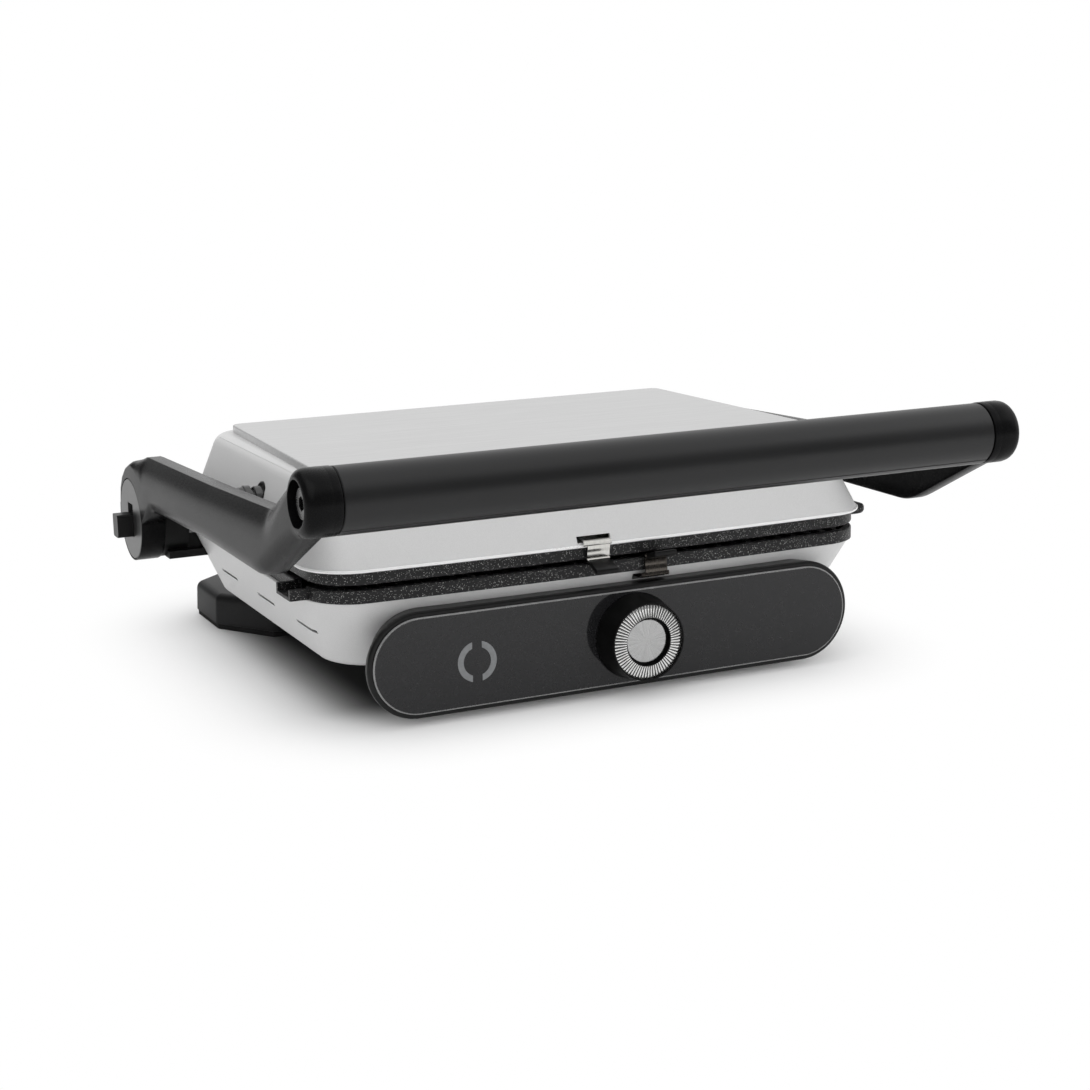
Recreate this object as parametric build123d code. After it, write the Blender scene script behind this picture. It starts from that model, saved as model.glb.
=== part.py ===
from build123d import *
import math
import os

# A countertop contact grill: a base with a lower grill plate, a handle frame hinged at its rear
# corners, and a lid with the upper grill plate hung between the frame's arms.
# All lengths are millimetres. The front is -Y, the table is z = 0. The geometry is laid out with
# x = 0 on the symmetry plane and is centred on the origin when it is written.

# Clearances
RUNNING = 0.05
SEAT = 0.3
MOVING_GAP = 0.5

# Rear hinge
HINGE_Y = -3.0
HINGE_Z = 67.0
AXLE_R = 6.0
AXLE_HEAD_R = 8.5
AXLE_HEAD_H = 1.0
BARREL_R = 22.0
BARREL_GAP = 4.3
BRACKET_FRONT = 15.0
BRACKET_BACK = 6.5
BRACKET_LOW_Z = 46.5
BRACKET_TOP_Z = 59.0
BRACKET_LEDGE_H = 4.0
BRACKET_LEDGE_OUT = 4.0

# Arms
HUB_REACH = 26.2
ARM_THICK = 13.5
ARM_EDGE = 1.6
HUB_R = 22.8
HUB_THICK = 8.5
ARM_SHOULDER = (4.6, 93.8)
ARM_TOP_REAR = (-26.8, 104.2)
ARM_TOP_MID = (-144.0, 108.5)
ARM_TOP_ELBOW_Z = 113.3
ARM_LOW_REAR = (-45.0, 77.0)
ARM_LOW_MID = (-140.0, 80.5)
ARM_LOW_ELBOW_Z = 80.5
ARM_ELBOW_R = 24.0

# Handle
HANDLE_OUT = 65.9
HANDLE_Z = 124.5
HANDLE_R = 15.0
HANDLE_WALL = 1.6
HANDLE_END = 16.5
HANDLE_SEAM_GAP = 0.4
DOGLEG_HALF = 12.45
DOGLEG_SLOPE = math.radians(27.0)
SPIGOT_DEPTH = 12.0
CAP_ROUND = 5.0
RECESS_R = 9.8
RECESS_DEPTH = 6.0
TIE_ROD_R = 3.0
TIE_NUT_R = 6.8
TIE_NUT_H = 3.5
TIE_NUT_SOCKET_R = 3.4
TIE_NUT_SOCKET_H = 2.0

# Hinge discs and release lever
DISC_GAP = 0.4
DISC_RIM = 1.1
DISC_THICK = 2.5
DISC_RECESS = 5.5
LEVER_REACH = 8.7
LEVER_Y = 10.0
LEVER_Z = 12.5
LEVER_DROP = 3.0
LEVER_TRAVEL = 5.0
LEVER_FLANGE = 1.3
LEVER_FLANGE_MARGIN = 2.6
LEVER_ROUND = 1.5

# Grill plates: one casting, used again upside down in the lid
PLATE_HALF = 149.2
PLATE_FRONT = -220.7
PLATE_REAR = -11.5
PLATE_BOW = 3.5
PLATE_CORNER_FRONT = 24.0
PLATE_CORNER_REAR = 16.0
PLATE_WALL_H = 6.25
PLATE_EDGE = 3.5
PLATE_ROUND = 1.0
PLATE_TRAY_INSET = 13.0
PLATE_TRAY_DROP = 2.0
PLATE_FLOOR = 1.5
PLATE_GAP = 2.35
PLATE_SEAT_Z = 60.9
RIB_DROP = 0.8
RIB_W = 3.6
RIB_PITCH = 9.0
RIB_MARGIN = 4.0
SPOUT_IN = 29.7
SPOUT_W = 20.0
SPOUT_REACH = 8.5
SPOUT_WALL = 2.0
LUG_X = 70.0
LUG_W = 16.0
LUG_REACH = 3.0
LUG_H = 2.0
CATCH_W = 12.0
CATCH_SHEET = 1.0

# Base shell
BASE_SIDE = 1.8
BASE_LEAD = 1.7
BASE_TAIL = 10.0
BASE_BOW = 3.5
BASE_BOTTOM_Z = 25.0
BASE_DRAFT = 15.0
BASE_DRAFT_REAR = 6.0
BASE_CORNER_FRONT = 28.0
BASE_CORNER_REAR = 18.0
BASE_WALL = 1.5
LEDGE_H = 1.5
BASE_LOW_ROUND = 5.0
BASE_TOP_ROUND = 0.7
BASE_LIP = 8.0
LEDGE_CLEARANCE = 1.0
SLOT_TAIL = 54.5
SLOT_PITCH = -61.5
SLOT_COUNT = 3
SLOT_LENGTH = 27.0
SLOT_H = 1.6
SLOT_Z = 42.3
COVER_THICK = 2.5

# Feet
FOOT_SIDE = 13.0
FOOT_W = 50.0
FOOT_FRONT = -40.0
FOOT_REAR = 53.0
FOOT_CHAMFER_X = 23.0
FOOT_CHAMFER_FRONT = 34.0
FOOT_CHAMFER_REAR = 20.0
FOOT_H = 20.0
FOOT_ROUND = 1.5
NECK_IN = 20.0
NECK_Y = -30.0
NECK_W = 24.0
NECK_L = 16.0
FRONT_FOOT_IN = 39.0
FRONT_FOOT_R = 14.0
PAD_H = 3.0
PAD_INSET = 1.2

# Control panel
PANEL_SIDE = 20.0
PANEL_LOW_Z = 4.0
PANEL_TOP_Z = 55.5
PANEL_LEAD = 10.8
PANEL_TAIL = 16.0
PANEL_WALL = 2.0
PANEL_EDGE = 1.0
GLASS_INSET = 2.4
GLASS_THICK = 2.5
GLASS_PROUD = 1.3
GLASS_EDGE = 0.5
RING_IN = 54.6
RING_Z = 28.3
RING_OUTER_R = 10.0
RING_INNER_R = 7.0
RING_GAP = 5.0
BOARD_W = 34.0
BOARD_H = 26.0
BOARD_THICK = 1.6
POST_IN = 27.0
POST_Z = 34.0
POST_R = 4.5

# Knob
KNOB_X = 7.7
KNOB_Z = 30.0
KNOB_BASE_R = 21.5
KNOB_R = 19.2
KNOB_REACH = 14.4
KNOB_STANDOFF = 0.6
KNOB_RIM = 0.6
KNOB_FACE_DEPTH = 3.0
KNOB_RING_INNER_R = 12.4
KNOB_CAP_R = 11.3
KNOB_SHELL = 2.0
KNOB_HUB_R = 6.0
SHAFT_R = 3.0
THERMOSTAT_W = 26.0
THERMOSTAT_H = 21.0
THERMOSTAT_DEPTH = 9.0

# Lid
LID_SIDE = 2.7
LID_LEAD = 1.0
LID_TAIL = 5.0
LID_BOW = 3.5
LID_TOP_Z = 114.0
LID_DRAFT = 12.4
LID_DRAFT_FRONT = 18.0
LID_DRAFT_REAR = 9.5
LID_CORNER_FRONT = 25.0
LID_CORNER_REAR = 19.0
LID_WALL = 1.5
LID_ROUND = 8.0
LID_RIM_OUT = 0.8
LID_RIM_ROUND = 0.7
LID_SHOULDER = 14.0
TOP_PANEL_H = 4.0
TOP_PANEL_SHEET = 1.4
TOP_PANEL_TAPER = 7.5
TOP_PANEL_SIDE = 2.0
TOP_PANEL_TAIL = 11.0
TOP_PANEL_LEAD = 0.7
TOP_PANEL_CORNER = 5.0
TOP_PANEL_EDGE = 0.9

# Lid pivots
PIVOT_Y = -122.0
PIVOT_Z = 96.0
PIVOT_R = 4.0
PIVOT_BUSH_WALL = 2.5
PIVOT_BUSH_FLANGE = 2.0
PIVOT_BUSH_IN = 12.3
PIVOT_BUSH_OUT = 6.1
PIVOT_COLLAR_R = 7.0
PIVOT_DEPTH = 8.0

# Plate clips
UPPER_CLIP_X = -11.5
LOWER_CLIP_X = 20.0
CLIP_W = 17.0
CLIP_SHEET = 0.6
CLIP_PIN_R = 0.9
CLIP_PIN_IN = 2.5
CLIP_PIN_OFF = 10.7
CLIP_RIM_GAP = 0.5
CLIP_PLATE_GAP = 2.2
CLIP_REACH = 1.5
CLIP_LIP_OFF = -0.25
CLIP_TRAVEL = math.radians(9.0)
CLIP_TAB_W = 14.0
CLIP_TAB_REACH = 10.0
CLIP_TAB_H = 2.4
CLIP_TAB_SLOPE = math.radians(12.0)
CLIP_EAR = 1.2
CLIP_EAR_MARGIN = 0.4
CLIP_EAR_GAP = 0.3

# Heating, wiring and inner pieces
ELEMENT_R = 3.2
ELEMENT_SIDE = 45.2
ELEMENT_RUNS = 4
ELEMENT_PITCH = 46.0
ELEMENT_TAIL = 35.5
ELEMENT_TURN_R = 20.0
PAN_INSET = 11.0
PAN_FLANGE = 1.2
PAN_SHEET = 0.8
PAN_DEPTH = 12.0
PAD_THICK = 6.0
PAD_MARGIN = 14.0
GLAND_R = 6.0
GLAND_FLANGE_R = 9.0
GLAND_FLANGE_H = 3.0
GLAND_BORE_R = 3.6
GLAND_DEPTH = 9.0
GLAND_X = 62.0
GLAND_Z = 42.0
TERMINAL_SIZE = (34.0, 18.0, 13.0)
TERMINAL_AT = (62.0, -45.0)
FUSE_R = 2.4
FUSE_LENGTH = 22.0
FUSE_AT = (20.0, -116.0)

# Screws
SCREW_R = 1.8
SCREW_HEAD_R = 3.6
SCREW_HEAD_H = 2.2
SCREW_SLOT_W = 1.0
SCREW_LENGTH = 9.0
SCREW_GAP = 0.15

# Derived places
BASE_HALF = PLATE_HALF + BASE_SIDE
BASE_FRONT = PLATE_FRONT + BASE_LEAD
BASE_REAR = PLATE_REAR + BASE_TAIL
LID_HALF = PLATE_HALF + LID_SIDE
LID_FRONT = PLATE_FRONT - LID_LEAD
LID_REAR = PLATE_REAR + LID_TAIL
TOP_PANEL_HALF_FRONT = LID_HALF - LID_DRAFT - TOP_PANEL_SIDE
TOP_PANEL_HALF_REAR = TOP_PANEL_HALF_FRONT - TOP_PANEL_TAPER
TOP_PANEL_FRONT = LID_FRONT + LID_DRAFT_FRONT + TOP_PANEL_LEAD
TOP_PANEL_REAR = LID_REAR - LID_DRAFT_REAR - TOP_PANEL_TAIL
PIVOT_BUSH_INNER_X = LID_HALF - PIVOT_BUSH_IN
PIVOT_BUSH_OUTER_X = LID_HALF + PIVOT_BUSH_OUT
BARREL_INNER_X = BASE_HALF + BARREL_GAP
ARM_OUTER_X = BARREL_INNER_X + HUB_REACH
HANDLE_SEAM_X = ARM_OUTER_X - HANDLE_END
HANDLE_Y = LID_FRONT - HANDLE_OUT
FOOT_OUTER_X = BASE_HALF - FOOT_SIDE
FOOT_INNER_X = FOOT_OUTER_X - FOOT_W
NECK_X = FOOT_INNER_X + NECK_IN
FRONT_FOOT_Y = BASE_FRONT + FRONT_FOOT_IN
PANEL_HALF = BASE_HALF - PANEL_SIDE
PANEL_FRONT = BASE_FRONT - PANEL_LEAD
PANEL_BACK = BASE_FRONT + PANEL_TAIL
RING_X = RING_IN - PANEL_HALF
POST_X = PANEL_HALF - POST_IN
SPOUT_Y = PLATE_FRONT + SPOUT_IN
SLOT_FIRST_Y = BASE_REAR - SLOT_TAIL
CLIP_PIN_Y = BASE_FRONT + CLIP_PIN_IN
ELEMENT_HALF = PLATE_HALF - ELEMENT_SIDE
ELEMENT_FIRST_Y = PLATE_REAR - ELEMENT_TAIL
MATING_Z = PLATE_SEAT_Z + PLATE_WALL_H + PLATE_GAP / 2
LID_SEAT_Z = 2 * MATING_Z - PLATE_SEAT_Z
LID_SHELL_Z = LID_SEAT_Z + LEDGE_H
ARM_INNER_X = ARM_OUTER_X - ARM_THICK
HUB_INNER_X = ARM_OUTER_X - HUB_THICK
DISC_SEAT_X = ARM_OUTER_X - DISC_RECESS
DISC_R = HUB_R - DISC_RIM
HOUSING_FRONT = PANEL_FRONT + GLASS_PROUD
HOUSING_INNER = PANEL_FRONT + GLASS_THICK + PANEL_WALL
ELEMENT_Z = PLATE_SEAT_Z - PLATE_TRAY_DROP - SEAT - ELEMENT_R
LEDGE_INSET = PLATE_TRAY_INSET - LEDGE_CLEARANCE
COVER_Z = BASE_BOTTOM_Z + BASE_WALL
PAN_TOP_Z = PLATE_SEAT_Z - LEDGE_H
FRONT_REACH = HANDLE_Y - HANDLE_R
CENTRE = Pos(LEVER_REACH / 2, -(FRONT_REACH + FOOT_REAR) / 2, 0)


def save(node, shape):
    """Write one node, moved so that the whole part's box is centred on the origin."""
    solids = [CENTRE * solid for solid in shape.solids()]
    piece = solids[0] if len(solids) == 1 else Compound(children=solids)
    piece.label = node
    export_step(piece, f"parts/{node}.step")


def flipped(shape):
    """The mirror image of a shape across the symmetry plane."""
    return mirror(shape, about=Plane.YZ)


def save_pair(name, shape):
    """Write a right-hand piece and its mirror image on the left as two nodes."""
    save(f"{name}_right", shape)
    save(f"{name}_left", flipped(shape))


def group(shapes):
    """Separate solids gathered for one node."""
    return Compound(children=[solid for shape in shapes for solid in shape.solids()])


def turned(shape):
    """A lower piece turned over into its place in the lid, about the plates' mating line."""
    return Pos(0, 0, MATING_Z) * Rot(0, 180, 0) * Pos(0, 0, -MATING_Z) * shape


def box(x, y, z):
    """A box from three (low, high) spans."""
    size = [high - low for low, high in (x, y, z)]
    middle = [(high + low) / 2 for low, high in (x, y, z)]
    return Pos(*middle) * Box(*size)


def span(middle, width):
    """A (low, high) span of one width round its middle."""
    return (middle - width / 2, middle + width / 2)


def x_cylinder(radius, x, y, z):
    """A cylinder along X over the span x, round the line through y and z."""
    return Pos((x[0] + x[1]) / 2, y, z) * Rot(0, 90, 0) * Cylinder(radius, x[1] - x[0])


def y_cylinder(radius, x, y, z):
    """A cylinder along Y over the span y, round the line through x and z."""
    return Pos(x, (y[0] + y[1]) / 2, z) * Rot(90, 0, 0) * Cylinder(radius, y[1] - y[0])


def z_cylinder(radius, x, y, z):
    """A cylinder along Z over the span z, round the line through x and y."""
    return Pos(x, y, (z[0] + z[1]) / 2) * Cylinder(radius, z[1] - z[0])


def hinge_cylinder(radius, x):
    """A cylinder on the rear hinge axis."""
    return x_cylinder(radius, x, HINGE_Y, HINGE_Z)


def screw(length=SCREW_LENGTH, extra=0.0):
    """A pan-head screw with a cross slot, its shank down -Z from z = 0; extra widens it to a hole."""
    shank = z_cylinder(SCREW_R + extra, 0, 0, (-length, 0))
    head = z_cylinder(SCREW_HEAD_R + extra, 0, 0, (0, SCREW_HEAD_H))
    slot = (SCREW_HEAD_H / 2, SCREW_HEAD_H)
    cross = box(span(0, SCREW_HEAD_R), span(0, SCREW_SLOT_W), slot)
    cross += box(span(0, SCREW_SLOT_W), span(0, SCREW_HEAD_R), slot)
    return shank + head - cross


def screw_hole(length=SCREW_LENGTH):
    """The running hole of a screw's shank."""
    return z_cylinder(SCREW_R + SCREW_GAP, 0, 0, (-length, SCREW_HEAD_H))


def plan(half, front, rear, corner_front, corner_rear, bow=0.0, half_rear=None):
    """A plan outline with rounded corners, straight sides and rear, and a bowed front."""
    half_rear = half if half_rear is None else half_rear
    sides = Polyline((half, front), (half_rear, rear), (-half_rear, rear), (-half, front))
    if bow:
        nose = ThreePointArc((-half, front), (0, front - bow), (half, front))
    else:
        nose = Line((-half, front), (half, front))
    face = make_face([*sides.edges(), *nose.edges()])
    face = fillet(face.vertices().group_by(Axis.Y)[-1], corner_rear)
    return fillet(face.vertices().group_by(Axis.Y)[0], corner_front)


def slab(face, low, high):
    """A plan face extruded between two heights."""
    return extrude(Pos(0, 0, low) * face, high - low)


def plate_plan(inset):
    """The grill plate's outline, drawn in by an inset."""
    front = PLATE_FRONT + inset
    corner_front = max(PLATE_CORNER_FRONT - inset, PLATE_EDGE)
    corner_rear = max(PLATE_CORNER_REAR - inset, PLATE_EDGE)
    return plan(PLATE_HALF - inset, front, PLATE_REAR - inset, corner_front, corner_rear, PLATE_BOW)


def base_plan(z, inset):
    """The base shell's outline at a height, drawn in by an inset."""
    share = (PLATE_SEAT_Z - z) / (PLATE_SEAT_Z - BASE_BOTTOM_Z)
    half = BASE_HALF - BASE_DRAFT * share - inset
    front = BASE_FRONT + BASE_DRAFT * share + inset
    rear = BASE_REAR - BASE_DRAFT_REAR * share - inset
    return plan(half, front, rear, BASE_CORNER_FRONT - inset, BASE_CORNER_REAR - inset, BASE_BOW)


def base_body(inset, low, high):
    """The base's solid form between two heights."""
    faces = [Pos(0, 0, z) * base_plan(z, inset) for z in (low, high)]
    return loft(faces, ruled=True)


def lid_plan(z, inset):
    """The lid shell's outline at a height, drawn in by an inset."""
    share = (z - LID_SHELL_Z) / (LID_TOP_Z - LID_SHELL_Z)
    half = LID_HALF - LID_DRAFT * share - inset
    front = LID_FRONT + LID_DRAFT_FRONT * share + inset
    rear = LID_REAR - LID_DRAFT_REAR * share - inset
    return plan(half, front, rear, LID_CORNER_FRONT - inset, LID_CORNER_REAR - inset, LID_BOW)


def lid_body(inset, low, high):
    """The lid's solid form between two heights."""
    faces = [Pos(0, 0, z) * lid_plan(z, inset) for z in (low, high)]
    return loft(faces, ruled=True)


def top_panel_plan(inset):
    """The lid's top panel, wider at the front, drawn in by an inset."""
    front = TOP_PANEL_FRONT + inset
    rear = TOP_PANEL_REAR - inset
    corner = max(TOP_PANEL_CORNER - inset, TOP_PANEL_SHEET)
    half_front = TOP_PANEL_HALF_FRONT - inset
    return plan(half_front, front, rear, corner, corner, LID_BOW, TOP_PANEL_HALF_REAR - inset)


def stadium(inset, front, back):
    """A stadium-shaped block of the control panel, from its front to its back."""
    height = PANEL_TOP_Z - PANEL_LOW_Z - 2 * inset
    face = SlotOverall(2 * (PANEL_HALF - inset), height)
    block = extrude(Plane.XZ * face, (back - front) / 2, both=True)
    return Pos(0, (front + back) / 2, (PANEL_TOP_Z + PANEL_LOW_Z) / 2) * block


def foot_screw_places():
    """The screws that hold the four feet, as (x, y) places."""
    return [(side * x, y) for x, y in ((NECK_X, NECK_Y), (FOOT_INNER_X, FRONT_FOOT_Y)) for side in (1, -1)]


def lid_screw_places():
    """The screws that hold the top panel, as (x, y) places."""
    x = TOP_PANEL_HALF_REAR - LID_SHOULDER / 2
    ys = (TOP_PANEL_REAR - LID_SHOULDER * 2, TOP_PANEL_FRONT + LID_SHOULDER * 2)
    return [(side * x, y) for y in ys for side in (1, -1)]


def bracket_screw_place():
    """The right-hand bracket's screw, from inside the base shell's rounded rear corner."""
    y = HINGE_Y - BRACKET_FRONT / 2
    z = (BRACKET_LOW_Z + BRACKET_TOP_Z) / 2
    share = (PLATE_SEAT_Z - z) / (PLATE_SEAT_Z - BASE_BOTTOM_Z)
    corner_y = BASE_REAR - BASE_DRAFT_REAR * share - BASE_CORNER_REAR
    past_corner = y + SCREW_HEAD_R - corner_y
    corner_r = BASE_CORNER_REAR - BASE_WALL
    corner_x = BASE_HALF - BASE_DRAFT * share - BASE_CORNER_REAR
    reach = math.sqrt(corner_r**2 - past_corner**2)
    draft = BASE_DRAFT / (PLATE_SEAT_Z - BASE_BOTTOM_Z) * SCREW_HEAD_R
    return Pos(corner_x + reach - draft - SEAT, y, z) * Rot(0, -90, 0)


def panel_screw_places():
    """The screws through the base shell's front wall into the control housing's posts."""
    share = (PLATE_SEAT_Z - POST_Z) / (PLATE_SEAT_Z - BASE_BOTTOM_Z)
    y = BASE_FRONT + BASE_DRAFT * share + BASE_WALL
    return [Pos(side * POST_X, y, POST_Z) * Rot(-90, 0, 0) for side in (1, -1)]


def window_box():
    """The window through which the thermostat and the wires reach into the base."""
    x = (RING_X - BOARD_W / 2, KNOB_X + THERMOSTAT_W / 2 + PANEL_WALL)
    return box(x, (PANEL_FRONT, PANEL_BACK), (BASE_BOTTOM_Z + BASE_LIP, PANEL_TOP_Z - BASE_LIP))


def clip_slot(x, z_low, z_high):
    """The slot that a plate clip's strip passes through, in the wall between two heights."""
    return box(span(x, CLIP_W + 2 * MOVING_GAP), (PANEL_FRONT, CLIP_PIN_Y), (z_low, z_high))


def base_shell():
    """The pressed tub of the base: sloped walls, a top ledge for the plate and a bottom lip."""
    outer = base_body(0, BASE_BOTTOM_Z, PLATE_SEAT_Z)
    outer = fillet(outer.faces().sort_by(Axis.Z)[0].edges(), BASE_LOW_ROUND)
    outer = fillet(outer.faces().sort_by(Axis.Z)[-1].edges(), BASE_TOP_ROUND)
    shell = outer - base_body(BASE_WALL, COVER_Z, PAN_TOP_Z)
    shell -= slab(plate_plan(LEDGE_INSET), PAN_TOP_Z - LEDGE_H, PLATE_SEAT_Z)
    shell -= slab(base_plan(BASE_BOTTOM_Z, BASE_LIP), BASE_BOTTOM_Z, COVER_Z)
    slot_x = (BASE_HALF - BASE_DRAFT - BASE_WALL, BASE_HALF)
    for index in range(SLOT_COUNT):
        slot_y = span(SLOT_FIRST_Y + index * SLOT_PITCH, SLOT_LENGTH)
        slot = box(slot_x, slot_y, span(SLOT_Z, SLOT_H))
        shell -= slot + flipped(slot)
    shell -= window_box()
    low, high = lower_slot_span()
    shell -= clip_slot(LOWER_CLIP_X, low, high)
    shell -= y_cylinder(GLAND_R + RUNNING, GLAND_X, (-GLAND_DEPTH * 2, 0), GLAND_Z)
    hole = bracket_screw_place() * screw_hole()
    shell -= hole + flipped(hole)
    for place in panel_screw_places():
        shell -= place * screw_hole()
    return shell


def base_cover():
    """The bottom plate on the shell's lip, with the foot screws' holes."""
    cover = slab(base_plan(COVER_Z + COVER_THICK, BASE_WALL + SEAT + COVER_THICK / 2), COVER_Z, COVER_Z + COVER_THICK)
    for x, y in foot_screw_places():
        cover -= z_cylinder(SCREW_R + SCREW_GAP, x, y, (COVER_Z, COVER_Z + COVER_THICK))
    return cover


def rear_foot():
    """The right rear foot: an octagonal block that reaches out behind the base."""
    x0, x1, y0, y1 = FOOT_INNER_X, FOOT_OUTER_X, FOOT_FRONT, FOOT_REAR
    c, cf, cr = FOOT_CHAMFER_X, FOOT_CHAMFER_FRONT, FOOT_CHAMFER_REAR
    points = [(x0, y0), (x1 - c, y0), (x1, y0 + cf), (x1, y1 - cr), (x1 - c, y1), (x0, y1)]
    face = make_face(Polyline(*points, close=True).edges())
    block = slab(face, PAD_H, FOOT_H)
    block = fillet(block.faces().sort_by(Axis.Z)[-1].edges(), FOOT_ROUND)
    neck = box(span(NECK_X, NECK_W), span(NECK_Y, NECK_L), (PAD_H, COVER_Z))
    bore = z_cylinder(SCREW_R + SCREW_GAP, NECK_X, NECK_Y, (COVER_Z + COVER_THICK - SCREW_LENGTH - SEAT, COVER_Z))
    foot = block + neck - bore
    inset = PAD_INSET
    pad_points = [(x0 + inset, y0 + inset), (x1 - c, y0 + inset), (x1 - inset, y0 + cf), (x1 - inset, y1 - cr)]
    pad_points += [(x1 - c, y1 - inset), (x0 + inset, y1 - inset)]
    pad = slab(make_face(Polyline(*pad_points, close=True).edges()), 0, PAD_H)
    return foot, pad


def front_foot():
    """The right front foot: a round stub and its rubber pad."""
    stub = z_cylinder(FRONT_FOOT_R, FOOT_INNER_X, FRONT_FOOT_Y, (PAD_H, COVER_Z))
    top = COVER_Z + COVER_THICK - SCREW_LENGTH - SEAT
    stub -= z_cylinder(SCREW_R + SCREW_GAP, FOOT_INNER_X, FRONT_FOOT_Y, (top, COVER_Z))
    pad = z_cylinder(FRONT_FOOT_R - PAD_INSET, FOOT_INNER_X, FRONT_FOOT_Y, (0, PAD_H))
    return stub, pad


def control_housing():
    """The moulded box of the control panel, seated on the base shell's sloped front."""
    outer = stadium(0, HOUSING_FRONT, PANEL_BACK)
    outer = fillet(outer.faces().sort_by(Axis.Y)[0].edges(), PANEL_EDGE)
    housing = outer - stadium(PANEL_WALL, HOUSING_INNER, PANEL_BACK)
    for side in (1, -1):
        housing += y_cylinder(POST_R, side * POST_X, (HOUSING_INNER, PANEL_BACK), POST_Z)
    housing -= base_body(0, BASE_BOTTOM_Z, PLATE_SEAT_Z)
    housing -= stadium(GLASS_INSET - RUNNING, HOUSING_FRONT, PANEL_FRONT + GLASS_THICK)
    housing -= y_cylinder(SHAFT_R + MOVING_GAP, KNOB_X, (PANEL_FRONT, HOUSING_INNER), KNOB_Z)
    housing -= y_cylinder(RING_OUTER_R + SEAT, RING_X, (PANEL_FRONT, HOUSING_INNER), RING_Z)
    for place in panel_screw_places():
        housing -= place * screw_hole()
    return housing


def ring_arcs(extra):
    """The indicator's two arcs through the glass; extra widens them to their slots."""
    back = HOUSING_INNER - extra
    front = PANEL_FRONT - extra
    ring = y_cylinder(RING_OUTER_R + extra, RING_X, (front, back), RING_Z)
    ring -= y_cylinder(RING_INNER_R - extra, RING_X, (front, back), RING_Z)
    gap = RING_GAP - 2 * extra
    return ring - box(span(RING_X, gap), (front, back), span(RING_Z, 2 * RING_OUTER_R + RING_GAP))


def control_glass():
    """The black glass front with its shaft hole and the indicator's arc slots."""
    glass = stadium(GLASS_INSET, PANEL_FRONT, PANEL_FRONT + GLASS_THICK)
    glass = chamfer(glass.faces().sort_by(Axis.Y)[0].edges(), GLASS_EDGE)
    glass -= y_cylinder(SHAFT_R + MOVING_GAP, KNOB_X, (PANEL_FRONT, HOUSING_INNER), KNOB_Z)
    return glass - ring_arcs(RUNNING)


def indicator_board():
    """The small circuit board behind the indicator."""
    return box(span(RING_X, BOARD_W), (HOUSING_INNER, HOUSING_INNER + BOARD_THICK), span(RING_Z, BOARD_H))


def thermostat():
    """The thermostat's body and its shaft, which the knob turns."""
    back = HOUSING_INNER + THERMOSTAT_DEPTH
    body = box(span(KNOB_X, THERMOSTAT_W), (HOUSING_INNER, back), span(KNOB_Z, THERMOSTAT_H))
    shaft_y = (PANEL_FRONT - KNOB_REACH + 2 * KNOB_FACE_DEPTH, HOUSING_INNER + THERMOSTAT_DEPTH / 2)
    body -= y_cylinder(SHAFT_R + RUNNING, KNOB_X, (HOUSING_INNER, shaft_y[1]), KNOB_Z)
    return body, y_cylinder(SHAFT_R, KNOB_X, shaft_y, KNOB_Z)


def knob_body():
    """The knob's tapered body, hollow behind, with a face recess for its ring and cap."""
    back = PANEL_FRONT - KNOB_STANDOFF
    front = PANEL_FRONT - KNOB_REACH
    depth = back - front
    middle = (back + front) / 2
    cone = Pos(KNOB_X, middle, KNOB_Z) * Rot(90, 0, 0) * Cone(KNOB_BASE_R, KNOB_R, depth)
    face_back = front + KNOB_FACE_DEPTH
    floor = face_back + KNOB_SHELL
    cone -= y_cylinder(KNOB_R - KNOB_RIM, KNOB_X, (front, face_back), KNOB_Z)
    cone -= y_cylinder(KNOB_R - KNOB_SHELL, KNOB_X, (floor, back), KNOB_Z)
    cone += y_cylinder(KNOB_HUB_R, KNOB_X, (floor, back), KNOB_Z)
    shaft_front = PANEL_FRONT - KNOB_REACH + 2 * KNOB_FACE_DEPTH
    return cone - y_cylinder(SHAFT_R + RUNNING, KNOB_X, (shaft_front, back), KNOB_Z)


def knob_ring():
    """The knob's metal face ring."""
    depth = (PANEL_FRONT - KNOB_REACH, PANEL_FRONT - KNOB_REACH + KNOB_FACE_DEPTH)
    ring = y_cylinder(KNOB_R - KNOB_RIM - RUNNING, KNOB_X, depth, KNOB_Z)
    return ring - y_cylinder(KNOB_RING_INNER_R, KNOB_X, depth, KNOB_Z)


def knob_cap():
    """The knob's round metal centre."""
    depth = (PANEL_FRONT - KNOB_REACH, PANEL_FRONT - KNOB_REACH + KNOB_FACE_DEPTH)
    cap = y_cylinder(KNOB_CAP_R, KNOB_X, depth, KNOB_Z)
    return fillet(cap.faces().sort_by(Axis.Y)[0].edges(), KNOB_RIM)


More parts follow.
